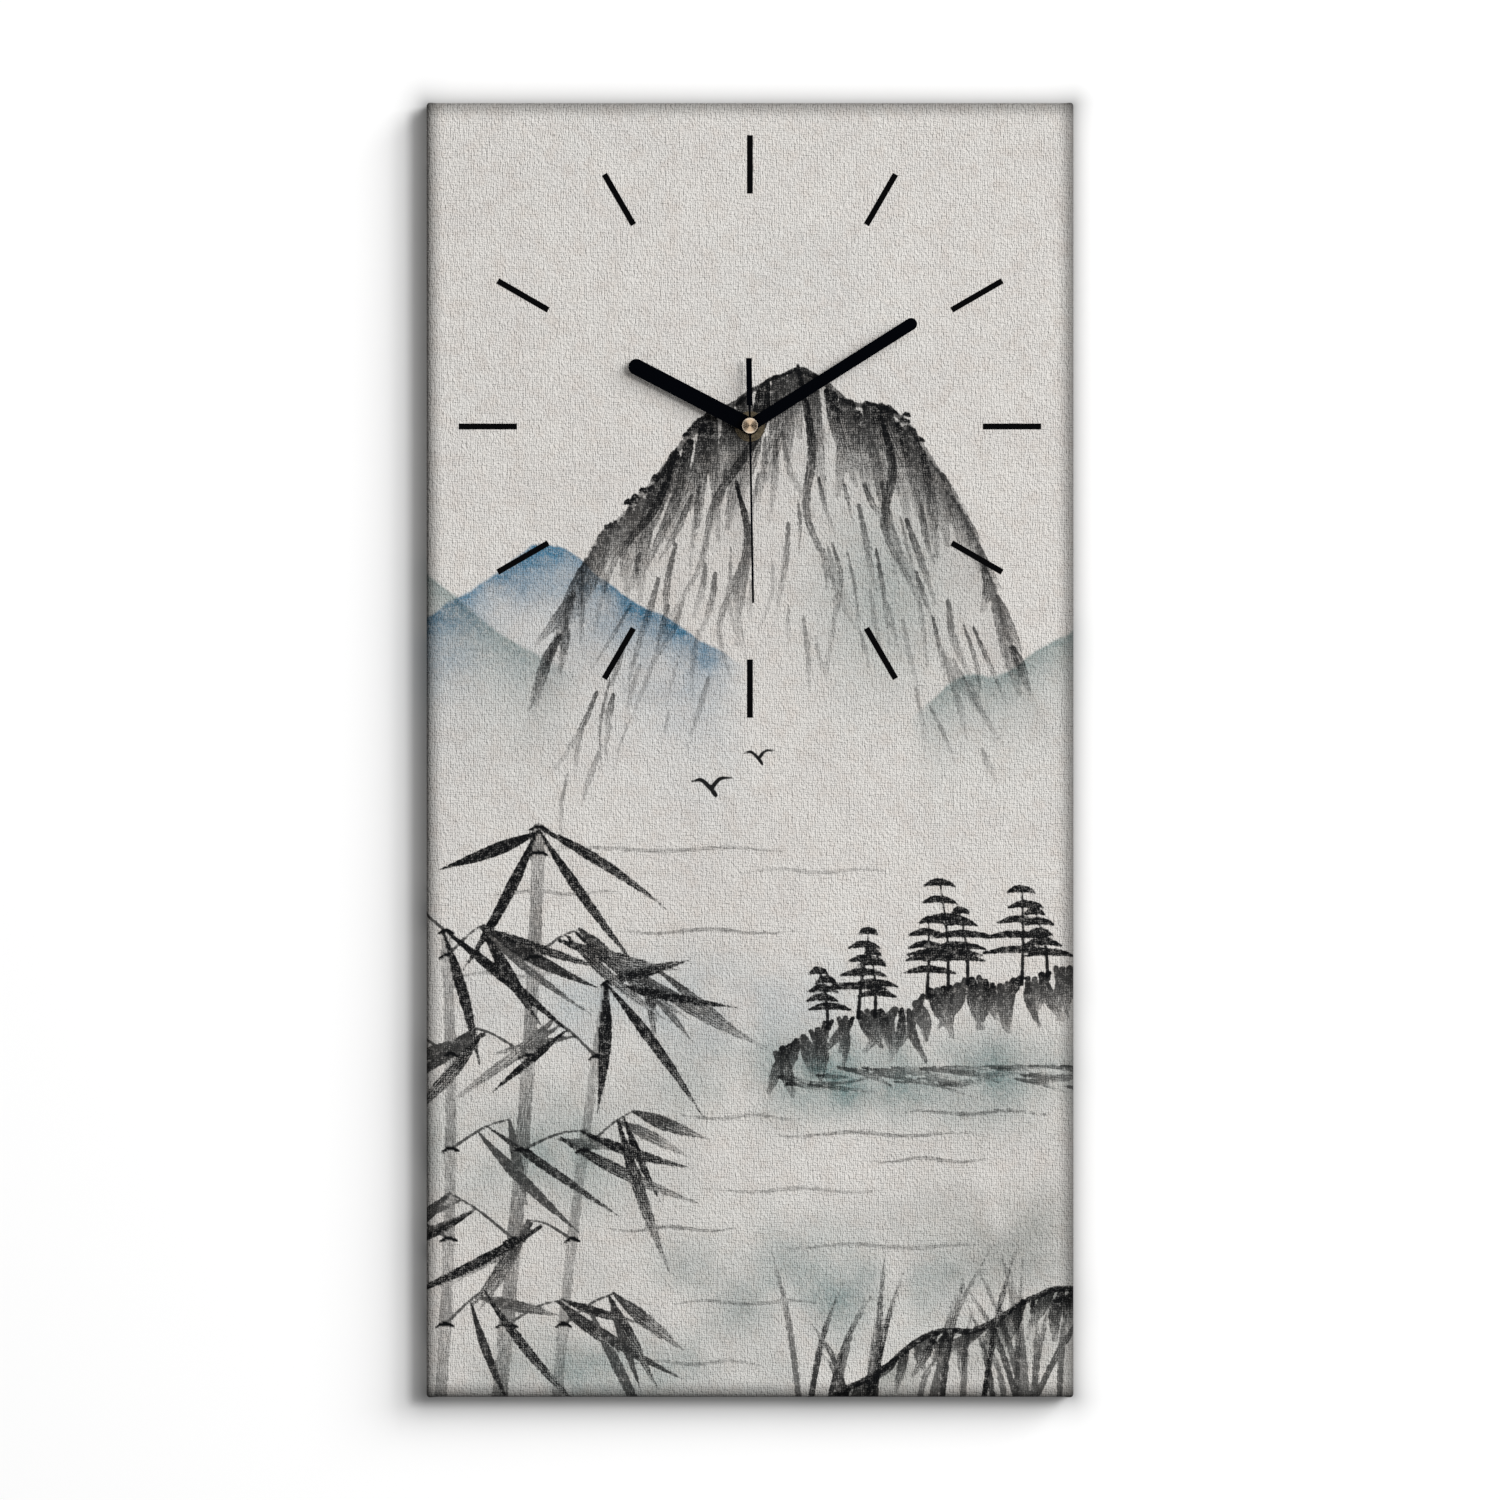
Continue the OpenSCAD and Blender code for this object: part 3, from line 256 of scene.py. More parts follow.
def make_cloth():
    """The cloth as one object, with the print's fields kept on its mesh."""
    p, cut, faces, inner = join_layers()
    mesh = bpy.data.meshes.new("canvas_cloth")
    world_p = np.column_stack([p[:, 0], -p[:, 1], p[:, 2] + CENTRE.z / MM]) * MM
    mesh.from_pydata(world_p.tolist(), [], faces)
    x, v = cut[:, 0], TALL / 2 - cut[:, 1]
    outer = ~inner
    art = paint(x[outer], v[outer])

    def keep(name, columns, blank, where=outer):
        """Keeps a vector or colour for each point that where picks, and blank for the others."""
        data = np.empty((len(p), len(blank)), np.float32)
        data[:] = blank
        data[where] = np.column_stack(columns)
        kind, field = ("FLOAT_COLOR", "color") if len(blank) == 4 else ("FLOAT_VECTOR", "vector")
        mesh.attributes.new(name, kind, "POINT").data.foreach_set(field, data.ravel())

    keep("cut", [x, v, np.zeros(len(x))], (0, 0, 0), where=slice(None))
    keep("wash", [art.wash, np.ones(len(art.wash))], (1, 1, 1, 1))
    for name, ink, seed in (("mass", art.mass, 3.0), ("line", art.line, 8.0)):
        keep(name, [ink.d, ink.tone, ink.dry], (NO_INK, 0, 0))
        keep(name + "_brush", [ink.along, ink.across, np.full(len(ink.d), seed)], (0, 0, seed))

    # The cloth laid flat, as its own texture layout: the outer layer at the left of the inner
    corner = np.empty(len(mesh.loops), np.int32)
    mesh.loops.foreach_get("vertex_index", corner)
    side = inner[corner]
    start_u, start_w, scale = np.array([OUTER_LAYOUT, INNER_LAYOUT])[side.astype(int)].T
    u = start_u + (x[corner] + WIDE / 2 + 2 * FLAP) * scale
    w = start_w + (v[corner] + 2 * FLAP) * scale
    layout = mesh.uv_layers.new(name="OFBake")
    layout.data.foreach_set("uv", np.column_stack([u, w]).astype(np.float32).ravel())

    mesh.materials.append(printed_cloth())
    mesh.materials.append(bare_cloth())
    first = np.empty(len(mesh.polygons), np.int32)
    mesh.polygons.foreach_get("loop_start", first)
    mesh.polygons.foreach_set("material_index", inner[corner[first]].astype(np.int32))
    mesh.polygons.foreach_set("use_smooth", np.ones(len(first), bool))
    mesh.update()
    piece = placed("canvas_cloth", mesh)
    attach(piece, "clock_body")
    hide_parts("canvas")


# The print: x is across from the middle and v down from the top edge

PAPER = srgb(246, 243, 238)
BLUE, PALE_BLUE = srgb(82, 136, 168), srgb(150, 178, 190)
TEAL, MOSS = srgb(132, 156, 155), srgb(94, 108, 100)
ROSE, GREY = srgb(186, 176, 168), srgb(108, 108, 107)
NO_INK = 6.0  # distance that stands for no ink near by
SOAK = 4.0  # how far from a stroke its ink is looked for
ART_SEED = 21
RIPPLE_KNOTS, CLOUD_KNOTS = 512, 127


def ripple(x, seed, scale, layers=4):
    """Smooth noise along a line, between about -1 and 1."""
    rng = np.random.default_rng(seed)
    total, size = np.zeros(np.shape(x)), 1.0
    for _ in range(layers):
        knots = rng.uniform(-1, 1, RIPPLE_KNOTS)
        p = np.asarray(x, float) / scale + RIPPLE_KNOTS / 2
        i = np.clip(np.floor(p).astype(int), 0, RIPPLE_KNOTS - 2)
        t = ease(p - i)
        total = total + size * (knots[i] * (1 - t) + knots[i + 1] * t)
        size, scale = size * 0.5, scale * 0.5
    return total / 1.6


def cloud(x, y, seed, scale, layers=3):
    """Smooth noise on the cloth, between about -1 and 1."""
    rng = np.random.default_rng(seed)
    total, size, n = np.zeros(np.shape(x)), 1.0, CLOUD_KNOTS
    for _ in range(layers):
        knots = rng.uniform(-1, 1, (n, n))
        px, py = x / scale + 64.3, y / scale + 20.7
        i, j = np.floor(px).astype(int), np.floor(py).astype(int)
        a, b = ease(px - i), ease(py - j)
        i0, i1, j0, j1 = i % n, (i + 1) % n, j % n, (j + 1) % n
        total = total + size * (
            (knots[i0, j0] * (1 - a) + knots[i1, j0] * a) * (1 - b)
            + (knots[i0, j1] * (1 - a) + knots[i1, j1] * a) * b
        )
        size, scale = size * 0.5, scale * 0.5
    return total / 1.5


def along_curve(points):
    """Length of the curve up to each of its points."""
    return np.concatenate([[0], np.cumsum(np.hypot(*np.diff(points[:, :2], axis=0).T))])


class Ink:
    """One layer of ink: how far each point lies outside it, its strength and dryness, and
    the place along and across the brush stroke that made it."""

    def __init__(self, x, v):
        self.x, self.v = x, v
        self.d = np.full(x.shape, NO_INK)
        self.tone, self.dry, self.along, self.across = np.zeros((4, *x.shape))

    def lay(self, where, d, tone, dry, along, across):
        """Adds ink at the points picked by where, and the darker ink wins."""
        new = tone * step(0.5, -0.5, d)
        old = self.tone[where] * step(0.5, -0.5, self.d[where])
        wins = (new > old) | ((new == old) & (d < self.d[where]))
        put = where[wins]
        self.tone[put], self.dry[put] = tone[wins], dry[wins]
        self.along[put], self.across[put] = along[wins], across[wins]
        self.d[where] = np.minimum(self.d[where], d)

    def stroke(self, points, tone, dry, start=0.0):
        """A brush stroke through points (x, down, width). tone and dry may each be a pair,
        for the stroke's two ends."""
        p = np.array(points, float)
        ends = np.vstack([2 * p[0] - p[1], p, 2 * p[-1] - p[-2]])
        steps = 6 if len(p) > 2 else 1
        t = np.linspace(0, 1, steps, endpoint=False)[:, None]
        line = []
        for a, b, c, e in zip(ends, ends[1:], ends[2:], ends[3:]):
            bend, twist = 2 * a - 5 * b + 4 * c - e, 3 * b - a - 3 * c + e
            line.append(0.5 * (2 * b + (c - a) * t + bend * t**2 + twist * t**3))
        line = np.vstack([*line, p[-1:]])
        line[:, 2] = np.maximum(line[:, 2], 0.2) / 2
        length = along_curve(line)
        reach = line[:, 2].max() + SOAK
        low, high = line[:, :2].min(0) - reach, line[:, :2].max(0) + reach
        where = np.flatnonzero(
            (self.x > low[0]) & (self.x < high[0]) & (self.v > low[1]) & (self.v < high[1])
        )
        if not len(where):
            return
        x, v = self.x[where], self.v[where]
        best = np.full(len(where), np.inf)
        along, across = np.zeros(len(where)), np.zeros(len(where))
        for (ax, av, aw), (bx, bv, bw), so_far in zip(line, line[1:], length):
            dx, dv = bx - ax, bv - av
            size = max(np.hypot(dx, dv), TINY)
            f = np.clip(((x - ax) * dx + (v - av) * dv) / size**2, 0, 1)
            side = ((v - av) * dx - (x - ax) * dv) / size
            d = np.hypot(x - ax - f * dx, v - av - f * dv) - (aw + f * (bw - aw))
            near = d < best
            best[near], across[near] = d[near], side[near]
            along[near] = (so_far + f * size)[near]
        share = along / max(length[-1], TINY)
        tones, drys = np.broadcast_to(tone, 2), np.broadcast_to(dry, 2)
        self.lay(
            where, best, tones[0] + (tones[1] - tones[0]) * share,
            drys[0] + (drys[1] - drys[0]) * share, along + start, across,
        )


class Art:
    """The print as it is painted: two layers of ink over a wash of colour."""

    def __init__(self, x, v):
        self.x, self.v = x, v
        self.mass, self.line = Ink(x, v), Ink(x, v)
        self.wash = np.ones((len(x), 3)) * PAPER
        self.rng = np.random.default_rng(ART_SEED)

    def tint(self, colour, amount):
        """Glazes a transparent colour over the wash."""
        amount = np.clip(amount, 0, 1)[:, None]
        self.wash *= 1 - amount * (1 - colour / PAPER)

    def cloud(self, seed, scale):
        return cloud(self.x, self.v, seed, scale)

    def under(self, top, low, high, fade):
        """Strength of a wash that starts at a line and fades down from it."""
        f = self.v - top(self.x)
        return step(low, high, f) * np.exp(-np.maximum(f, 0) / fade)


def hill(seed, rough, *tops):
    """Height line of a hill through its tops (x, down), with small crags."""
    across, down = np.array(tops, float).T

    def line(x):
        smooth = np.interp(x, across, down)
        for shift in (4, 8):
            sides = np.interp(x - shift, across, down), np.interp(x + shift, across, down)
            smooth = (smooth + sides[0] + sides[1]) / 3
        return smooth + rough * ripple(x, seed, 14)

    return line


def at_x(line, x):
    return float(line(np.array([x]))[0])


def leaf(ink, x, v, angle, length, width, tone, dry, bend=0.0):
    """A long pointed leaf, from its stem. angle is 0 to the right and 90 down."""
    a = np.radians(angle)
    along = np.array([np.cos(a), np.sin(a)])
    side = np.array([-along[1], along[0]])
    points = []
    for f, w in ((0, 0.25), (0.12, 0.5), (0.34, 1.0), (0.6, 0.85), (0.85, 0.35), (1, 0.03)):
        at = np.array([x, v]) + along * length * f + side * bend * length * f**2
        points.append((*at, width * w))
    ink.stroke(points, tone, (dry * 0.5, dry))


def hatch(ink, rng, places, angle, length, width, tone, dry, sway=7):
    """Brush strokes that hang from places (x, down), each at about angle(x)."""
    for x, v in places:
        size, w = rng.uniform(*length), rng.uniform(*width)
        a = np.radians(angle(x) + rng.normal(0, sway))
        b = a + np.radians(rng.normal(0, 9))
        mid = (x + np.cos(a) * size * 0.45, v + np.sin(a) * size * 0.45)
        end = (mid[0] + np.cos(b) * size * 0.55, mid[1] + np.sin(b) * size * 0.55)
        tones = rng.uniform(*tone), rng.uniform(*tone) * 0.85
        drys = dry[0], dry[1] * rng.uniform(0.85, 1.1)
        points = [(x, v, w * 0.55), (*mid, w), (*end, w * 0.35)]
        ink.stroke(points, tones, drys, start=rng.uniform(0, 400))


def pine_tree(ink, rng, x, v, tall):
    """A small pine in a few dabs: a bent trunk and flat clumps of needles."""
    lean = rng.normal(0, 0.08)
    top = (x + lean * tall, v - tall)
    ink.stroke([(x, v, 1.9), (x + lean * tall * 0.3 + 0.6, v - tall * 0.5, 1.3), (*top, 0.7)], 0.95, 0.2)
    for k in range(5):
        f = 0.35 + 0.16 * k
        wide = tall * (0.36 - 0.055 * k) * rng.uniform(0.8, 1.2)
        cx, cv = x + lean * tall * f + rng.normal(0, wide * 0.18), v - tall * f
        dabs = ((-1, 0.9, 1.0), (-0.3, -0.8, 3.4), (0.5, -0.3, 2.8), (1, 1.1, 0.8))
        points = [(cx + wide * along, cv + down, w) for along, down, w in dabs]
        ink.stroke(points, 0.97, 0.42, start=rng.uniform(0, 90))


def paint_ground(art):
    """The ground, faintly clouded."""
    art.tint(ROSE, 0.07 + 0.07 * art.cloud(1, 70))
    art.tint(PALE_BLUE, 0.05 * step(0.1, 0.9, art.cloud(2, 60)))


def paint_hills(art):
    """Far hills in blue at the left, and paler ones beyond them and at the right."""
    far = hill(
        11, 2.6, (-200, 262), (-150, 240), (-122, 222), (-104, 205), (-92, 200), (-82, 211),
        (-66, 219), (-52, 234), (-34, 240), (-10, 258), (30, 275), (200, 300),
    )
    beyond = hill(12, 1.5, (-200, 205), (-160, 212), (-140, 226), (-115, 246), (-90, 262), (200, 300))
    east = hill(
        13, 2.0, (-200, 300), (60, 296), (86, 276), (100, 262), (118, 268), (136, 250), (160, 240),
        (200, 236),
    )
    veil = 0.8 + 0.45 * art.cloud(3, 16)
    art.tint(BLUE, 1.3 * art.under(far, -0.5, 0.8, 24) * veil * step(4, -26, art.x))
    art.tint(TEAL, 0.8 * art.under(beyond, -0.8, 1.5, 24) * step(-70, -110, art.x))
    art.tint(TEAL, 0.85 * art.under(east, -0.6, 1.0, 20) * step(70, 92, art.x))


def paint_mountain(art):
    """The mountain behind the hands: washes, hanging strokes, folds and a crumbly outline."""
    x, v, mass, line, rng = art.x, art.v, art.mass, art.line, art.rng
    peak = hill(
        14, 2.2, (-200, 420), (-110, 300), (-96, 268), (-86, 232), (-74, 204), (-62, 190), (-52, 186),
        (-42, 172), (-30, 154), (-16, 143), (-4, 137), (8, 128), (20, 122), (30, 125), (42, 137), (56, 143),
        (66, 141), (76, 150), (88, 172), (98, 186), (108, 206), (118, 240), (130, 276), (160, 320),
        (200, 400),
    )
    clouded = 1 + 0.5 * art.cloud(4, 18)
    art.tint(GREY, 0.34 * art.under(peak, -0.3, 0.8, 46) * step(320, 240, v) * clouded)
    patch = np.exp(-((x - 62) / 30) ** 2 - ((v - 228) / 42) ** 2)
    art.tint(TEAL, 0.5 * step(0, 1, v - peak(x)) * patch)

    def fan(q):
        return 90 - 19 * np.tanh((q - 14) / 55)

    for ink, count, low, high, depth, length, width, tone, dry in (
        (mass, 34, -46, 84, (1, 5), (26, 60), (4.5, 9.0), (0.9, 1.0), (0.42, 1.0)),
        (mass, 22, -92, -46, (0, 5), (16, 38), (3.0, 6.0), (0.8, 0.95), (0.5, 1.0)),
        (mass, 16, 84, 124, (0, 5), (16, 40), (3.0, 6.0), (0.75, 0.95), (0.5, 1.0)),
        (line, 46, -70, 108, (26, 84), (18, 46), (1.6, 4.0), (0.6, 0.9), (0.55, 1.0)),
        (line, 30, -84, 116, (70, 122), (16, 40), (1.4, 3.2), (0.35, 0.6), (0.6, 1.0)),
    ):
        spots = []
        for k in range(count):
            q = low + (high - low) * (k + rng.uniform(-0.35, 0.35)) / count
            spots.append((q, at_x(peak, q) + rng.uniform(*depth)))
        hatch(ink, rng, spots, fan, length, width, tone, dry)

    # Folds that run down from the summit
    for course in (
        [(10, 130), (2, 152), (-14, 184), (-24, 214), (-44, 250)],
        [(22, 124), (30, 158), (28, 190), (38, 226), (36, 262)],
        [(58, 144), (66, 172), (64, 196), (78, 230), (84, 262)],
        [(-34, 160), (-44, 186), (-62, 212), (-72, 244)],
        [(-8, 176), (-2, 206), (-12, 240), (-8, 268)],
    ):
        points = []
        for k, (q, d) in enumerate(course):
            wide = 5.2 - 3.6 * k / (len(course) - 1) if k else 1.6
            points.append((q + rng.normal(0, 1.5), d + rng.normal(0, 1.5), wide))
        line.stroke(points, (0.98, 0.6), (0.4, 1.0), start=rng.uniform(0, 300))

    # The outline, in two strokes from the summit down
    across = range(-100, 127, 5)
    widths = 3.0 + 1.8 * ripple(np.arange(len(across)) * 9.0, 22, 20)
    outline = [(q, at_x(peak, q) + 0.6, w) for q, w in zip(across, widths)]
    half = len(outline) // 2
    for part in (outline[half::-1], outline[half:]):
        points = []
        for k, (q, d, w) in enumerate(part):
            points.append((q, d, w * min(0.3 + 0.35 * k, 1 - 0.6 * k / len(part))))
        line.stroke(points, (0.98, 0.35), (0.4, 1.0))
    for _ in range(34):
        q = rng.choice([rng.normal(-52, 7), rng.normal(68, 6), rng.normal(-24, 4)])
        top = at_x(peak, q) - rng.uniform(-1, 3.2)
        line.stroke([(q - 1.6, top + 0.5, 1.0), (q, top - 0.4, 2.3), (q + 1.7, top + 0.6, 1.0)], 0.97, 0.35)


def paint_lake(art):
    """The lake: washes and ripples."""
    for cx, cv, w, h, colour, much, seed in (
        (70, 452, 120, 26, TEAL, 0.8, 7), (-96, 486, 80, 34, TEAL, 0.5, 6),
        (40, 548, 110, 34, TEAL, 0.62, 5), (-30, 418, 120, 26, PALE_BLUE, 0.35, 8),
        (116, 520, 44, 40, MOSS, 0.38, 9), (-70, 590, 90, 24, TEAL, 0.6, 10),
    ):
        pool = np.exp(-(((art.x - cx) / w) ** 2 + ((art.v - cv) / h) ** 2) * 1.6)
        art.tint(colour, much * pool * (0.8 + 0.9 * art.cloud(seed, 24)))
    for q, d, size in (
        (-40, 346, 110), (30, 356, 70), (-92, 366, 60), (-20, 384, 84), (-110, 404, 60),
        (104, 468, 70), (58, 478, 90), (-6, 470, 60), (84, 490, 60), (20, 504, 84),
        (-36, 522, 60), (64, 530, 100), (0, 556, 70), (-24, 584, 60),
    ):
        turn = art.rng.uniform(0, 6.28)
        points = []
        for s in np.linspace(-0.5, 0.5, 12):
            wave = 0.9 * np.sin(s * 11 + turn) + 1.5 * s * s
            points.append((q + s * size, d + wave, 1.5 * (1 - (2 * s) ** 2) + 0.4))
        art.line.stroke(points, art.rng.uniform(0.45, 0.75), 0.8, start=art.rng.uniform(0, 200))


def paint_islet(art):
    """An islet with pines at the right."""
    mass, line, rng = art.mass, art.line, art.rng
    islet = hill(
        15, 1.8, (-200, 460), (2, 446), (14, 438), (30, 428), (48, 420), (66, 422), (84, 412),
        (104, 404), (122, 408), (150, 398), (200, 402),
    )
    spots = [(q, at_x(islet, q) + rng.uniform(0, 3)) for q in np.linspace(12, 158, 46)]
    hatch(mass, rng, spots, lambda q: 82, (10, 26), (3.5, 7.0), (0.9, 1.0), (0.3, 0.85), sway=20)
    spots = [(rng.uniform(4, 150), rng.uniform(446, 456)) for _ in range(30)]
    hatch(line, rng, spots, lambda q: 4, (12, 40), (1.2, 3.0), (0.7, 0.95), (0.5, 1.0), sway=4)
    for q, tall in ((36, 26), (50, 40), (58, 30), (82, 36), (92, 50), (101, 34), (126, 44), (138, 30)):
        pine_tree(line, rng, q, at_x(islet, q) + 3, tall)


def paint_bamboo(art):
    """Bamboo at the left: stems with their joints, then leaves."""
    line, rng = art.line, art.rng
    stems = (
        ((-120, 640), (-108, 520), (-100, 430), (-98, 336), 8.0, 0.72),
        ((-92, 640), (-88, 560), (-76, 470), (-66, 408), 5.6, 0.55),
        ((-146, 640), (-140, 560), (-136, 470), (-141, 384), 6.4, 0.62),
    )
    joints = []
    t = np.linspace(0, 1, 200)[:, None]
    for *course, w, tone in stems:
        a, b, c, e = np.array(course, float)
        spine = a * (1 - t) ** 3 + 3 * b * t * (1 - t) ** 2 + 3 * c * t**2 * (1 - t) + e * t**3
        run = along_curve(spine)
        at, part = 0.0, 36.0
        while at + 8 < run[-1]:
            end = min(at + part, run[-1])
            low, mid, high, (q, d) = (
                [np.interp(far, run, spine[:, m]) for m in (0, 1)]
                for far in (at + 1.2, (at + end) / 2, end - 1.2, end)
            )
            line.stroke([(*low, w), (*mid, w * 0.86), (*high, w)], tone, (0.6, 0.85), start=at)
            ring = [(q - w * 0.66, d + 1.2, 1.1), (q, d - 0.5, 2.0), (q + w * 0.66, d + 0.9, 1.1)]
            line.stroke(ring, 0.97, 0.1)
            joints.append((q, d))
            at, part, w = end, part * 1.05, w * 0.97
    for n, (q, d) in enumerate(joints):
        if not 380 < d < 590:
            continue
        way = 1 if n % 2 else -1
        tip = (q + way * rng.uniform(16, 32), d - rng.uniform(8, 22))
        mid = ((q + tip[0]) / 2 + way * 2, (d + tip[1]) / 2 - 3)
        line.stroke([(q, d, 1.6), (*mid, 1.2), (*tip, 0.9)], 0.85, 0.3)
        for _ in range(rng.integers(3, 5)):
            share = rng.uniform(0.5, 1.05)
            leaf(line, q + (tip[0] - q) * share, d + (tip[1] - d) * share,
                 90 - way * rng.uniform(10, 78), rng.uniform(34, 78), rng.uniform(3.6, 6.4),
                 rng.uniform(0.82, 1.0), rng.uniform(0.5, 1.0), -way * rng.uniform(-0.06, 0.16))
    for q, d, angle, size in (
        (-98, 336, 26, 70), (-98, 337, 58, 80), (-99, 338, 112, 74), (-98, 338, 156, 50),
        (-66, 408, 14, 62), (-66, 409, 50, 76), (-67, 408, 88, 60), (-66, 408, -18, 40),
        (-141, 384, 38, 78), (-142, 385, 70, 66),
    ):
        leaf(line, q, d, angle, size, rng.uniform(4.4, 6.6), 0.98, rng.uniform(0.45, 0.8),
             rng.uniform(-0.08, 0.12))


def paint_bank(art):
    """A stony bank with grass at the bottom right."""
    mass, line, rng = art.mass, art.line, art.rng
    bank = hill(
        16, 2.0, (-200, 640), (20, 612), (40, 598), (60, 590), (76, 572), (92, 566), (108, 572),
        (124, 556), (150, 548), (200, 552),
    )
    art.tint(MOSS, 0.6 * art.under(bank, 0, 1.5, 30) * (0.8 + 0.6 * art.cloud(19, 14)))
    spots = [(q, at_x(bank, q) + rng.uniform(0, 2)) for q in np.linspace(28, 158, 30)]
    hatch(mass, rng, spots, lambda q: 110, (10, 24), (3.0, 6.5), (0.85, 1.0), (0.35, 0.95), sway=16)
    line.stroke([(q, at_x(bank, q), 2.8) for q in range(26, 170, 6)], 0.95, 0.5)
    root = 606
    for _ in range(26):
        q = rng.uniform(20, 156)
        size, lean = rng.uniform(26, 84), rng.normal(0, 17)
        a = np.radians(-90 + lean)
        mid = (q + np.cos(a) * size * 0.5, root + np.sin(a) * size * 0.55)
        tip = (q + np.cos(a) * size + lean * 0.3, root + np.sin(a) * size)
        points = [(q, root, 2.6), (*mid, 2.8), (*tip, 0.4)]
        line.stroke(points, rng.uniform(0.7, 0.97), (0.3, 1.0), start=rng.uniform(0, 200))


def paint_birds(art):
    """Two birds over the lake: two wings and a body each."""
    for q, d, s in ((-18, 318, 1.0), (4, 304, 0.75)):
        for points in (
            [(q - 9 * s, d - 3.5 * s, 0.8), (q - 4.5 * s, d - 4 * s, 1.9 * s), (q, d, 2.2 * s)],
            [(q, d, 2.2 * s), (q + 4 * s, d - 4.6 * s, 1.8 * s), (q + 9.5 * s, d - 5 * s, 0.8)],
            [(q - 0.5, d - 0.4, 1.4 * s), (q + 1.6 * s, d + 2.2 * s, 2.2 * s),
             (q + 2.4 * s, d + 3.8 * s, 0.8)],
        ):
            art.line.stroke(points, 0.95, 0.1)


def paint(x, v):
    """The print on the cloth: a mountain over a misty lake, with bamboo, pines and birds."""
    art = Art(x, v)
    for layer in (
        paint_ground, paint_hills, paint_mountain, paint_lake, paint_islet, paint_bamboo,
        paint_bank, paint_birds,
    ):
        layer(art)
    return art


# Materials


class Nodes:
    """A tree of shader nodes, built call by call. Each value is a number, a colour or the
    output of another node."""

    def __init__(self, tree):
        self.tree = tree

    def add(self, kind, *values, **settings):
        """A node with its settings, and its first inputs fed in order."""
        node = self.tree.nodes.new("ShaderNode" + kind)
        for key, value in settings.items():
            setattr(node, key, value)
        for socket, value in zip(node.inputs, values):
            self.feed(socket, value)
        return node

    def feed(self, socket, value):
        """Links a socket, or sets its value."""
        if isinstance(value, bpy.types.NodeSocket):
            self.tree.links.new(value, socket)
        elif socket.type == "RGBA":
            socket.default_value = (*[float(c) for c in value[:3]], 1.0)
        else:
            socket.default_value = value

    def math(self, kind, *values, clamp=False):
        return self.add("Math", *values, operation=kind, use_clamp=clamp).outputs[0]

    def plus(self, a, b):
        return self.math("ADD", a, b)

    def less(self, a, b):
        return self.math("SUBTRACT", a, b)

    def times(self, a, b):
        return self.math("MULTIPLY", a, b)

    def line(self, value, slope, start):
        """Start plus slope times value."""
        return self.math("MULTIPLY_ADD", value, slope, start)

    def total(self, *pairs):
        """Sum of value times weight, over pairs (value, weight)."""
        out = 0.0
        for value, weight in pairs:
            out = self.line(value, weight, out)
        return out

    def length(self, x, z):
        return self.math("SQRT", self.plus(self.times(x, x), self.times(z, z)))

    def vector_math(self, kind, *values):
        return self.add("VectorMath", *values, operation=kind).outputs

    def vector(self, x, y, z):
        return self.add("CombineXYZ", x, y, z).outputs[0]

    def parts(self, vector):
        return self.add("SeparateXYZ", vector).outputs

    def moved(self, at, by=(0, 0, 0), times=(1, 1, 1)):
        """The place at, less by, times a factor along each axis."""
        less = self.vector_math("SUBTRACT", at, tuple(by))[0]
        return self.vector_math("MULTIPLY", less, tuple(times))[0]


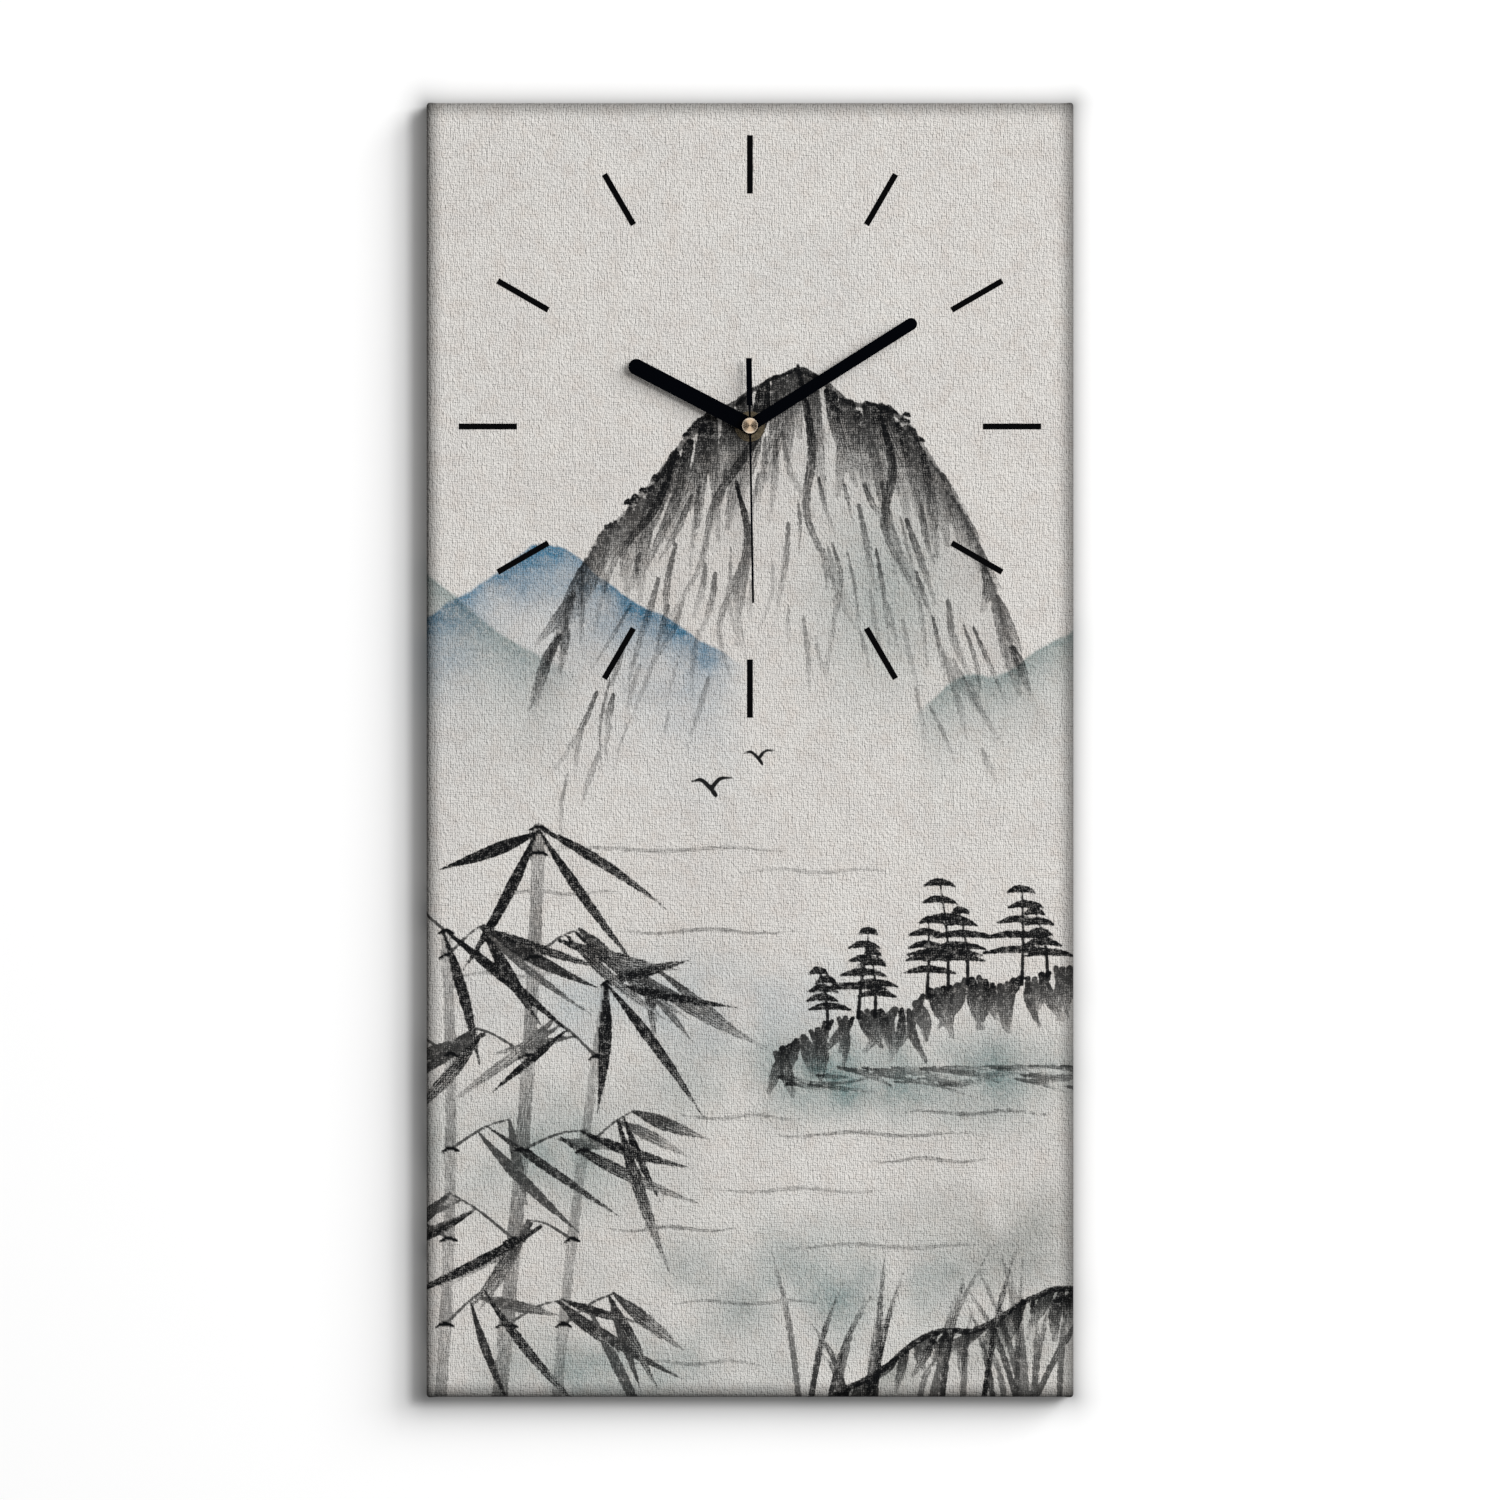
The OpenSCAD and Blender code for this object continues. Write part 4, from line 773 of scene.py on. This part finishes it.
class Look(Nodes):
    """One material, built as nodes round a Principled shader, with its places in millimetres."""

    def __init__(self, name):
        self.mat = bpy.data.materials.new(name)
        self.mat.use_nodes = True
        super().__init__(self.mat.node_tree)
        self.bsdf = next(n for n in self.tree.nodes if n.type == "BSDF_PRINCIPLED")
        self.place = self.vector_math("MULTIPLY", self.add("TexCoord").outputs["Object"], [1 / MM] * 3)[0]
        self.normal = None

    def made(self, colour, rough, *reliefs, metallic=0.0, specular=0.5):
        """The material, with these inputs and each relief as (height, depth)."""
        for key, value in (("Base Color", colour), ("Roughness", rough), ("Metallic", metallic),
                           ("Specular IOR Level", specular)):
            self.feed(self.bsdf.inputs[key], value)
        for relief in reliefs:
            self.bump(*relief)
        return self.mat

    def level(self, value, low, high, out_low=0.0, out_high=1.0):
        """Maps low..high to out_low..out_high with soft ends."""
        node = self.add("MapRange", value, low, high, out_low, out_high, interpolation_type="SMOOTHSTEP")
        return node.outputs[0]

    def spread(self, noise, low, high):
        """The most of a noise's range, mapped to low..high."""
        return self.level(noise, 0.3, 0.7, low, high)

    def mix(self, share, a, b, blend="MIX"):
        node = self.add("Mix", share, data_type="RGBA", blend_type=blend)
        self.feed(node.inputs[6], a)
        self.feed(node.inputs[7], b)
        return node.outputs[2]

    def fade(self, value, low, high, a, b, most=1.0, blend="MIX"):
        """Colour a where value is low, to that share of colour b where it is high."""
        return self.mix(self.level(value, low, high, 0.0, most), a, b, blend)

    def shaded(self, colour, shade):
        """A colour made darker by a factor."""
        return self.mix(1.0, colour, self.vector(shade, shade, shade), "MULTIPLY")

    def noise(self, cell, detail=2.0, rough=0.5, at=None, twist=0.0):
        """Noise from 0 to 1 with cells of about that size along each axis."""
        times = [float(1 / c) for c in np.broadcast_to(cell, 3)]
        at = self.moved(self.place if at is None else at, times=times)
        node = self.add("TexNoise")
        for key, value in (("Vector", at), ("Scale", 1.0), ("Detail", detail),
                           ("Roughness", rough), ("Distortion", twist)):
            self.feed(node.inputs[key], value)
        return node.outputs[0]

    def specks(self, times):
        """Distance from the nearest of many scattered points."""
        at = self.moved(self.place, times=times)
        node = self.add("TexVoronoi", at)
        node.inputs["Scale"].default_value = 1.0
        return node.outputs["Distance"]

    def bump(self, height, depth):
        """Adds relief that is depth millimetres deep for a height from 0 to 1."""
        node = self.add("Bump")
        self.feed(node.inputs["Strength"], 1.0)
        self.feed(node.inputs["Distance"], depth * MM)
        self.feed(node.inputs["Height"], height)
        if self.normal is not None:
            self.feed(node.inputs["Normal"], self.normal)
        self.normal = node.outputs[0]
        self.feed(self.bsdf.inputs["Normal"], self.normal)

    def brush_outward(self, x, z, amount):
        """Stretches the gloss as on metal turned about the depth axis."""
        self.feed(self.bsdf.inputs["Anisotropic"], amount)
        self.feed(self.bsdf.inputs["Tangent"], self.vector_math("NORMALIZE", self.vector(x, 0.0, z))[0])

    def from_axis(self):
        """Places across, deep and up from the hands' axis, and the distance from it."""
        x, y, z = self.parts(self.moved(self.place, AXIS / MM))
        return x, y, z, self.length(x, z)

    def data(self, name):
        """A value kept on the mesh under that name."""
        return self.add("Attribute", attribute_name=name).outputs


INK = srgb(20, 21, 23)
PITCH, SLUB = 1.05, 4.5  # spacing of the threads, and length of their thick places
UNBLEACHED = 0.80  # how bright the print's ground is
EDGE_SHADE_LEFT, EDGE_SHADE_RIGHT, EDGE_SHADE_TOP, EDGE_SHADE_BOTTOM = 0.20, 0.24, 0.38, 0.20  # painted edge shade: brightness at the very edge, darkest at the left and bottom, away from the light
EDGE_SHADE_OUT, EDGE_SHADE_IN = -1.5, 8.5  # where the painted edge shade begins and ends
PRINT_END = 5.0  # how far the print runs on behind the frame


def weave(look, x, v):
    """Height from 0 to 1 of a plain weave with uneven threads, at x and v."""
    at = look.vector(x, v, 0.0)

    def wave(place, seed):
        """Half waves a thread apart, which wander a little."""
        stray = look.noise(4.0, at=look.moved(at, (seed, seed, 0)))
        stray = look.line(stray, PITCH * 2.0, -PITCH)
        return look.math("SINE", look.times(look.math("DIVIDE", look.plus(place, stray), PITCH), np.pi))

    warp, weft = wave(x, 30.0), wave(v, 90.0)
    thick = look.noise((PITCH * 1.1, SLUB, 1), at=at)
    thin = look.noise((SLUB, PITCH * 1.1, 1), at=look.moved(at, (50, 0, 0)))
    up = look.times(look.times(warp, warp), look.level(thick, 0.3, 0.66, 0.35, 1.1))
    side = look.times(look.times(weft, weft), look.level(thin, 0.3, 0.66, 0.35, 1.1))
    over = look.line(look.times(warp, weft), 0.5, 0.5)
    return look.plus(look.times(up, over), look.times(side, look.less(1.0, over)))


def inked(look, layer, speck, dabs, threads, grains):
    """How much of a layer's ink lies at each place: ragged at its edge, and broken by the
    brush's hairs and the cloth where it is dry."""
    d, tone, dry = look.parts(look.data(layer)["Vector"])
    brush = look.vector(*look.parts(look.data(layer + "_brush")["Vector"]))
    hair = look.noise((7.0, 0.42, 1), 2.0, 0.6, brush)
    ragged = look.less(look.total((dabs, 2.2), (speck, 1.6)), 1.9)
    edge = look.level(look.plus(d, look.times(ragged, look.line(dry, 0.9, 0.15))), 0.28, -0.28)
    body = look.total((hair, 1.5), (speck, 0.9), (threads, 0.45))
    cover = look.level(look.line(dry, -1.25, body), 0.15, 0.62)
    amount = look.math("MULTIPLY", look.times(edge, tone), look.line(cover, 0.76, 0.28), clamp=True)
    thin = look.times(look.level(grains, 0.5, 0.68, 0.0, 0.38), look.level(dry, 0.1, 0.5))
    return look.times(amount, look.less(1.0, thin))


def printed_cloth():
    look = Look("printed cloth")
    x, v, _ = look.parts(look.data("cut")["Vector"])
    at = look.vector(x, v, 0.0)
    threads = weave(look, x, v)
    speck = look.noise(0.75, 3.0, 0.65, at)
    dabs = look.noise(2.6, 2.0, 0.6, look.moved(at, (11, 5, 0)))
    clouds = look.noise(26, 3.0, 0.6, look.moved(at, (3, 9, 0)))
    warm = look.noise(9, 3.0, 0.6, look.moved(at, (40, 9, 0)))
    grains = look.total((speck, 0.6), (dabs, 0.5), (threads, -0.12))
    colour = look.fade(grains, 0.42, 0.72, look.data("wash")["Color"], PAPER, 0.42)
    colour = look.fade(warm, 0.42, 0.72, colour, srgb(240, 231, 225), 0.35, "MULTIPLY")
    colour = look.fade(clouds, 0.35, 0.7, colour, srgb(246, 245, 246), 0.5, "MULTIPLY")
    covered = 0.0
    for layer in ("mass", "line"):
        amount = inked(look, layer, speck, dabs, threads, grains)
        colour = look.mix(amount, colour, INK)
        covered = look.math("MAXIMUM", covered, amount)
    # Painted shade along the cloth's edges, where the front turns away from the light, deepest at the left
    # and bottom, over the ground's own brightness
    shade = UNBLEACHED
    for distance, darkest in (
        (look.plus(x, WIDE / 2), EDGE_SHADE_LEFT), (look.less(x, WIDE / 2), EDGE_SHADE_RIGHT),
        (v, EDGE_SHADE_TOP), (look.less(v, TALL), EDGE_SHADE_BOTTOM),
    ):
        rim = look.level(look.math("ABSOLUTE", distance), EDGE_SHADE_OUT, EDGE_SHADE_IN, darkest, 1.0)
        shade = look.times(shade, rim)
    colour = look.shaded(colour, shade)
    # Bare cotton past the print's end
    past_side = look.less(look.math("ABSOLUTE", x), WIDE / 2)
    past_end = look.less(look.math("ABSOLUTE", look.less(v, TALL / 2)), TALL / 2)
    beyond = look.math("MAXIMUM", past_side, past_end)
    bare = look.level(look.line(dabs, 0.8, beyond), DEEP + PRINT_END, DEEP + PRINT_END + 0.5)
    raw = look.fade(speck, 0.3, 0.7, srgb(226, 219, 204), srgb(240, 236, 226))
    # Painted shade: the colour darkens where the threads dip, in the gaps between them
    colour = look.shaded(look.mix(bare, colour, raw), look.level(threads, 0.0, 0.5, 0.90, 1.0))
    crumple = look.noise((1.2, 1.5, 1), 1.0, 0.5, look.moved(at, (70, 30, 0)))
    rows = look.noise((8.0, 0.9, 1), 1.0, 0.5, look.moved(at, (20, 30, 0)))
    files = look.noise((0.9, 8.0, 1), 1.0, 0.5, look.moved(at, (60, 10, 0)))
    relief = look.total((threads, 0.38), (crumple, 1.0), (rows, 0.42), (files, 0.42))
    return look.made(colour, look.level(covered, 0.0, 1.0, 0.9, 0.78), (relief, 0.85), specular=0.05)


def bare_cloth():
    look = Look("bare cloth")
    x, v, _ = look.parts(look.data("cut")["Vector"])
    threads = weave(look, x, v)
    fleck = look.noise((9, 0.5, 1), at=look.vector(x, v, 0.0))
    colour = look.fade(fleck, 0.35, 0.75, srgb(233, 227, 212), srgb(214, 203, 182))
    # Painted shade: the colour darkens where the threads dip, in the gaps between them
    colour = look.shaded(colour, look.level(threads, 0.02, 0.5, 0.72, 1.0))
    return look.made(colour, look.level(threads, 0.0, 1.0, 0.95, 0.84), (threads, 0.3), specular=0.2)


def pine(name, grain):
    """Planed pine with its grain along axis 0 or 2."""
    look = Look(name)
    cell = [3.2, 3.2, 3.2]
    cell[grain] = 260.0
    fine = [0.12 * c for c in cell]
    fine[grain] = 0.08 * cell[grain]
    wander = look.noise([c * 5 for c in cell])
    x, y, z = look.parts(look.place)
    across = z if grain == 0 else x
    rings = look.total((across, 1 / 3.4), (y, 1 / 9.0), (wander, 9.0))
    late = look.level(look.math("ABSOLUTE", look.math("SINE", look.times(rings, 1.2))), 0.12, 0.9, 1.0, 0.0)
    fibre = look.noise(fine, 3.0, 0.65)
    colour = look.mix(late, srgb(228, 200, 152), srgb(196, 152, 98))
    colour = look.fade(fibre, 0.3, 0.75, colour, srgb(240, 222, 186), 0.55)
    colour = look.fade(look.noise(60), 0.4, 0.7, colour, srgb(214, 170, 118), 0.35)
    knot = look.level(look.specks([0.009] * 3), 0.035, 0.06, 1.0, 0.0)
    colour = look.mix(knot, colour, srgb(120, 74, 40))
    rough = look.level(late, 0, 1, 0.62, 0.5)
    return look.made(colour, rough, (fibre, 0.10), (late, 0.05), specular=0.35)


def fibreboard():
    look = Look("fibreboard")
    fibre = look.noise((0.35, 0.35, 3.0), 4.0, 0.7, twist=1.2)
    cross = look.noise((2.4, 0.35, 0.35), 4.0, 0.7, twist=1.2)
    mixed = look.total((fibre, 0.5), (cross, 0.5))
    colour = look.fade(mixed, 0.35, 0.65, srgb(112, 76, 48), srgb(164, 122, 84))
    colour = look.fade(look.noise(14), 0.35, 0.7, colour, srgb(132, 96, 66), 0.4)
    return look.made(colour, look.spread(mixed, 0.66, 0.5), (mixed, 0.12), specular=0.4)


def plain(name, light, dark, patch, edge, grain, rough, depth, **shader):
    """Two tones in patches, and a grain that sets the gloss and the relief. patch and grain
    are the cell, detail and roughness of a noise, and edge is where a patch begins and ends."""
    look = Look(name)
    fine = look.noise(*grain)
    colour = look.fade(look.noise(*patch), *edge, light, dark)
    return look.made(colour, look.spread(fine, *rough), (fine, depth), **shader)


def drawn_wire():
    return plain(
        "galvanised wire", srgb(176, 178, 180), srgb(206, 207, 207), patch=[3.0], edge=(0.35, 0.7),
        grain=(0.6, 3.0, 0.7), rough=(0.28, 0.46), depth=0.02, metallic=1.0,
    )


def plated(name, light, dark, rough, rolled):
    """Rolled and plated sheet metal, with the lines of rolling along one axis."""
    return plain(
        name, light, dark, patch=(2.4, 3.0, 0.6), edge=(0.35, 0.75),
        grain=(rolled, 3.0, 0.6), rough=(rough - 0.07, rough + 0.1), depth=0.015, metallic=1.0,
    )


def lacquer(name, colour, rough):
    """Thin black paint on flat metal: a fine orange peel and a little dust."""
    return plain(
        name, colour, srgb(10, 11, 14), patch=(0.22, 3.0, 0.75), edge=(0.66, 0.82),
        grain=[0.5], rough=(rough - 0.05, rough + 0.05), depth=0.008, specular=0.03,
    )


def rubber():
    return plain(
        "black rubber", srgb(24, 24, 24), srgb(40, 39, 38), patch=[2.6], edge=(0.35, 0.75),
        grain=(0.3, 4.0, 0.7), rough=(0.72, 0.9), depth=0.04, specular=0.3,
    )


def moulded(name, colour, worn, cell, depth, rough):
    """Moulded plastic: spark-eroded grain, faint flow patches and a slightly uneven gloss."""
    look = Look(name)
    grain = look.noise(cell, 3.0, 0.6)
    base = look.fade(look.noise(cell * 18, twist=0.6), 0.3, 0.75, colour, worn)
    scuff = look.noise((cell * 2, cell * 2, cell * 22), 2.0, 0.7)
    base = look.fade(scuff, 0.62, 0.8, base, worn, 0.3)
    return look.made(base, look.spread(grain, rough - 0.06, rough + 0.08), (grain, depth))


def turned(name, light, dark, rough, pitch, metallic, stretch=0.0):
    """Metal turned on a lathe about the hands' axis."""
    look = Look(name)
    x, y, z, r = look.from_axis()
    ridge = look.math("SINE", look.total((r, TURN / pitch), (look.noise(1.4), 3.0)))
    tool = look.noise((0.09, 0.09, 40.0), at=look.vector(r, y, 0.0))
    colour = look.fade(look.noise(1.9, 3.0, 0.65), 0.35, 0.72, light, dark)
    if stretch:
        look.brush_outward(x, z, stretch)
    relief = look.total((ridge, 0.25), (tool, 0.5))
    gloss = look.spread(tool, rough - 0.06, rough + 0.1)
    return look.made(colour, gloss, (relief, 0.012), metallic=metallic)


def spun_cap():
    """The brass disc on the second hand, spun to fine rings, with a painted highlight on its rim."""
    look = Look("spun brass")
    x, _, z, r = look.from_axis()
    rings = look.noise((0.05, 40.0, 40.0), 3.0, 0.7, look.vector(r, 0.0, 0.0))
    colour = look.fade(rings, 0.3, 0.7, srgb(236, 210, 181), srgb(212, 183, 150))
    # Painted highlight: the rim is paler, as where its edge catches the light
    colour = look.fade(r, 2.8, 2.95, colour, srgb(244, 224, 200))
    look.brush_outward(x, z, 0.93)
    return look.made(colour, look.spread(look.noise(0.25), 0.28, 0.33), (rings, 0.006), metallic=1.0)


def battery_jacket():
    """A plain printed sleeve: blue, with a silver band at the positive end and bare steel ends."""
    look = Look("battery sleeve")
    x, _, z = look.parts(look.place)
    low, high = (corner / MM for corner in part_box("battery"))
    rub = look.noise((5.0, 1.6, 1.6), 3.0, 0.6)
    band = look.level(x, 8.6, 8.75)
    line = look.times(look.level(x, 7.5, 7.6), look.level(x, 8.0, 8.1, 1.0, 0.0))
    colour = look.fade(rub, 0.3, 0.75, srgb(62, 100, 148), srgb(70, 110, 158))
    silver = look.fade(rub, 0.3, 0.75, srgb(192, 194, 196), srgb(206, 207, 208))
    colour = look.mix(line, look.mix(band, colour, silver), srgb(222, 222, 218))
    plus_end = look.level(x, high.x - 1.75, high.x - 1.65)
    minus_end = look.level(x, low.x + 0.45, low.x + 0.55, 1.0, 0.0)
    ends = look.math("MAXIMUM", plus_end, minus_end)
    colour = look.mix(ends, colour, srgb(200, 200, 198))
    shine = look.math("MAXIMUM", ends, look.times(band, 0.7))
    scuff = look.level(rub, 0.55, 0.8, 0.0, 0.16)
    seam = look.level(look.math("ABSOLUTE", look.less(z, low.z + 3.0)), 0.0, 0.25, 1.0, 0.0)
    relief = look.total((look.noise(0.5), 0.25), (seam, 1.0))
    return look.made(colour, look.plus(scuff, 0.26), (relief, 0.02), metallic=shine)


def circuit_board():
    """Solder mask over copper tracks, with the drop of resin over the chip."""
    look = Look("circuit board")
    x, _, z = look.parts(look.place)
    dx, dz = look.less(x, -20.8), look.less(z, -33.0)
    resin = look.level(look.length(dx, dz), 2.75, 2.85, 1.0, 0.0)
    # Tracks run level, bend at 45 degrees beside the chip, and some places are empty
    bend = look.math("MAXIMUM", look.less(look.math("ABSOLUTE", dx), 3.0), 0.0)
    bend = look.math("MINIMUM", bend, 1.8)
    lane = look.math("DIVIDE", look.plus(z, bend), 1.15)
    used = look.add("TexWhiteNoise", noise_dimensions="1D")
    look.feed(used.inputs["W"], look.math("FLOOR", lane))
    off_middle = look.math("ABSOLUTE", look.less(look.math("FRACT", lane), 0.5))
    track = look.level(off_middle, 0.17, 0.21, 1.0, 0.0)
    track = look.times(track, look.math("GREATER_THAN", used.outputs["Value"], 0.3))
    grain = look.noise(0.5, 3.0)
    colour = look.fade(grain, 0.3, 0.7, srgb(22, 78, 52), srgb(30, 92, 62))
    colour = look.mix(track, colour, srgb(58, 128, 82))
    tin = look.level(look.specks((0.33, 0.0, 0.33)), 0.16, 0.2, 1.0, 0.0)
    tin = look.times(tin, look.less(1.0, resin))
    colour = look.mix(tin, colour, srgb(196, 196, 194))
    colour = look.mix(resin, colour, srgb(14, 14, 15))
    relief = look.total((track, 0.6), (grain, 0.3))
    return look.made(colour, look.spread(grain, 0.3, 0.42), (relief, 0.03), metallic=tin)


def winding():
    """Fine enamelled wire laid side by side round the core."""
    look = Look("enamelled copper wire")
    x = look.parts(look.place)[0]
    turns = look.math("SINE", look.total((x, TURN / 0.28), (look.noise(9.0, 1.0), 1.5)))
    coat = look.noise(1.1)
    colour = look.fade(coat, 0.3, 0.7, srgb(176, 84, 44), srgb(206, 112, 62))
    # Painted shade: darker in the grooves between the turns of wire
    colour = look.mix(look.level(turns, -0.9, -0.2, 0.75, 0.0), colour, srgb(92, 38, 20))
    return look.made(colour, look.spread(coat, 0.26, 0.4), (turns, 0.03), metallic=0.85)


def stamped_iron():
    """Stamped and annealed iron, blue-grey, with sheared edges."""
    look = Look("soft iron")
    scale = look.noise(1.6, 3.0, 0.6)
    streaks = look.noise((9.0, 0.15, 0.5))
    colour = look.fade(scale, 0.35, 0.7, srgb(150, 152, 156), srgb(112, 116, 124))
    relief = look.total((streaks, 0.6), (scale, 0.4))
    return look.made(colour, look.spread(streaks, 0.3, 0.48), (relief, 0.015), metallic=1.0)


def magnet():
    look = Look("sintered magnet")
    grit = look.noise(0.12, 4.0, 0.8)
    colour = look.fade(grit, 0.35, 0.7, srgb(44, 44, 47), srgb(72, 72, 76))
    return look.made(colour, look.spread(look.noise(0.9), 0.5, 0.66), (grit, 0.02), metallic=0.45)


def dress():
    """Puts each material in the slots of the nodes that the record gives it."""
    # The turned brass is coloured darker than real brass: painted shade for the shadow that the hub and
    # hands cast on the washer and nut
    brass, steel = (srgb(124, 112, 90), srgb(86, 77, 61)), (srgb(196, 197, 199), srgb(168, 169, 172))
    nickel, tin = (srgb(206, 204, 198), srgb(178, 174, 166)), (srgb(214, 214, 214), srgb(190, 191, 194))
    made = {
        "mark_paint": lacquer("mark paint", srgb(6, 6, 7), 0.6),
        "hand_black": lacquer("black hand lacquer", srgb(1, 2, 5), 0.58),
        "cap_brass": spun_cap(),
        "fitting_brass": turned("turned brass", *brass, 0.28, 0.12, metallic=0.6, stretch=0.85),
        "arbor_steel": turned("ground steel", *steel, 0.2, 0.07, metallic=1.0),
        "staple_steel": drawn_wire(),
        "fibreboard": fibreboard(),
        "black_rubber": rubber(),
        "battery_jacket": battery_jacket(),
        "contact_metal": plated("nickel-plated contacts", *nickel, 0.24, (0.25, 0.25, 6.0)),
        "crystal_can": plated("tinned can", *tin, 0.2, (0.2, 0.2, 4.0)),
        "board_green": circuit_board(),
        "soft_iron": stamped_iron(),
        "copper_wire": winding(),
        "magnet_black": magnet(),
    }
    for slot, name, colour, worn, *grain in (
        ("case_plastic", "black case plastic", (26, 26, 28), (40, 40, 42), 0.45, 0.03, 0.46),
        ("cover_plastic", "black cover plastic", (24, 24, 25), (37, 37, 39), 0.6, 0.035, 0.5),
        ("plate_plastic", "grey plate plastic", (186, 187, 184), (170, 171, 168), 0.5, 0.015, 0.42),
        ("bobbin_plastic", "bobbin plastic", (232, 230, 222), (216, 213, 203), 0.4, 0.012, 0.4),
        ("gear_plastic", "wheel plastic", (234, 230, 216), (222, 216, 198), 0.35, 0.01, 0.34),
        ("knob_plastic", "knob plastic", (208, 207, 200), (194, 193, 185), 0.4, 0.02, 0.44),
    ):
        made[slot] = moulded(name, srgb(*colour), srgb(*worn), *grain)
    level_wood, upright_wood = pine("pine along x", 0), pine("pine along z", 2)
    bars = {
        "top_bar": level_wood, "bottom_bar": level_wood,
        "left_bar": upright_wood, "right_bar": upright_wood,
    }
    for entry in frame["record"]["subparts"]:
        node = entry["node"]
        new = bars.get(node) or made.get(entry["material_slot"])
        if new and node in nodes:
            for place in nodes[node].material_slots:
                place.material = new


# Wall, light and camera

WALL_HALF, WALL_BACK = 3.0, 0.0006  # half of the wall's size, and how far behind the clock it is
WALL_PAINT, WALL_GLOW, AMBIENT = 0.96, 0.06, 0.19
CREVICE, CREVICE_PAINT = 6.5 * MM, 0.28  # reach and depth of the shade close to the clock
AWAY, SEEN, SENSOR = 4.0, 0.6954, 36.0  # camera's distance, the width that it sees, its sensor
CARD_AWAY, CARD_NEAR, CARD_FAR, CARD_SLOPE = 1.2, 0.05, 2.6, 1.3


def board(name, corners, mat):
    """One flat face of the stage."""
    mesh = bpy.data.meshes.new(name)
    mesh.from_pydata(corners, [], [(0, 1, 2, 3)])
    mesh.materials.append(mat)
    obj = placed(name, mesh)
    return obj


def wall():
    """The wall that the clock hangs on. From behind it isn't seen."""
    mat = bpy.data.materials.new("wall")
    mat.use_nodes = True
    mat.node_tree.nodes.clear()
    t = Nodes(mat.node_tree)
    ray, side = t.add("LightPath").outputs, t.add("NewGeometry").outputs
    seen = t.math("MAXIMUM", ray["Is Camera Ray"], ray["Is Glossy Ray"])
    ahead = t.math("SUBTRACT", seen, side["Backfacing"], clamp=True)
    # Paint that darkens close to the clock's outline, where little light gets in
    off = t.vector_math("SUBTRACT", t.add("TexCoord").outputs["Object"], CENTRE)[0]
    half = ((HIGH.x - LOW.x) / 2, 1.0, (HIGH.z - LOW.z) / 2)
    past = t.vector_math("SUBTRACT", t.vector_math("ABSOLUTE", off)[0], half)[0]
    away = t.vector_math("LENGTH", t.vector_math("MAXIMUM", past, (0, 0, 0))[0])["Value"]
    fall = t.math("EXPONENT", t.times(away, -1 / CREVICE))
    paint_level = t.line(fall, WALL_PAINT * (CREVICE_PAINT - 1), WALL_PAINT)
    glow = t.add("Emission")
    glow.inputs["Strength"].default_value = WALL_GLOW
    lit = t.add("AddShader", t.add("BsdfDiffuse", paint_level).outputs[0], glow.outputs[0])
    clear = t.add("BsdfTransparent")
    t.add("OutputMaterial", t.add("MixShader", ahead, clear.outputs[0], lit.outputs[0]).outputs[0])
    h, y = WALL_HALF, WALL_BACK
    board("wall", [(-h, y, -h), (h, y, -h), (h, y, h), (-h, y, h)], mat)


def card(name, way):
    """A black card beside the camera. Only shiny metal shows it."""
    look = Look(name)
    corners = []
    for x, side in ((CARD_NEAR, -1), (CARD_FAR, -1), (CARD_FAR, 1), (CARD_NEAR, 1)):
        corners.append((way * x, FRONT.y - CARD_AWAY, AXIS.z + side * x * CARD_SLOPE))
    obj = board(name, corners, look.made((0.01, 0.01, 0.01), 0.9))
    obj.visible_camera = obj.visible_diffuse = obj.visible_shadow = obj.visible_transmission = False


def lamp(name, toward, distance, size, share, glossy):
    """A square area lamp that on its own gives a face turned to the front that share of full
    light. Shiny metal shows it only where glossy is true."""
    toward = Vector(toward).normalized()
    data = bpy.data.lights.new(name, "AREA")
    data.shape = "RECTANGLE"
    data.size = data.size_y = size
    data.energy = share * (np.pi * distance) ** 2 / abs(toward.y)
    obj = placed(name, data)
    obj.location = FRONT + toward * distance
    obj.rotation_euler = toward.to_track_quat("Z", "Y").to_euler()
    obj.visible_glossy = glossy


def world():
    """Even light from all round; seen directly, reflected or through something it is white."""
    scene = bpy.context.scene
    scene.world = bpy.data.worlds.new("studio")
    scene.world.use_nodes = True
    tree = scene.world.node_tree
    tree.nodes.clear()
    t = Nodes(tree)
    ray = t.add("LightPath").outputs
    seen = t.math("MAXIMUM", ray["Is Camera Ray"], ray["Is Transmission Ray"])
    seen = t.math("MAXIMUM", seen, ray["Is Glossy Ray"])
    sky = t.add("Background", (1, 1, 1), t.line(seen, 1 - AMBIENT, AMBIENT))
    t.add("OutputWorld", sky.outputs[0])


def camera():
    """Straight on, framed as the photo is: 1500 pixels to 695.4 mm of the front."""
    data = bpy.data.cameras.new("camera")
    data.sensor_width = SENSOR
    data.lens = SENSOR * AWAY / SEEN
    data.clip_start, data.clip_end = 0.05, 50.0
    obj = placed("camera", data)
    obj.location = (FRONT.x, FRONT.y - AWAY, FRONT.z)
    obj.rotation_euler = (np.pi / 2, 0, 0)
    bpy.context.scene.camera = obj


make_cloth()
dress()
wall()
world()
card("card_left", -1)
card("card_right", 1)
for settings in (
    ("key", (0.43, -1.0, 0.21), 6.0, 1.2, 0.30, False),
    ("wide_key", (0.46, -1.0, 0.26), 6.0, 4.0, 0.34, False),
    ("fill", (1.3, -1.0, 0.75), 6.0, 3.6, 0.31, False),
    ("behind", (-0.5, 1.0, 0.6), 2.6, 1.6, 0.55, True),
    ("behind_low", (0.8, 1.0, -0.2), 2.6, 1.6, 0.2, True),
):
    lamp(*settings)
camera()
bpy.context.scene.view_settings.view_transform = "Standard"
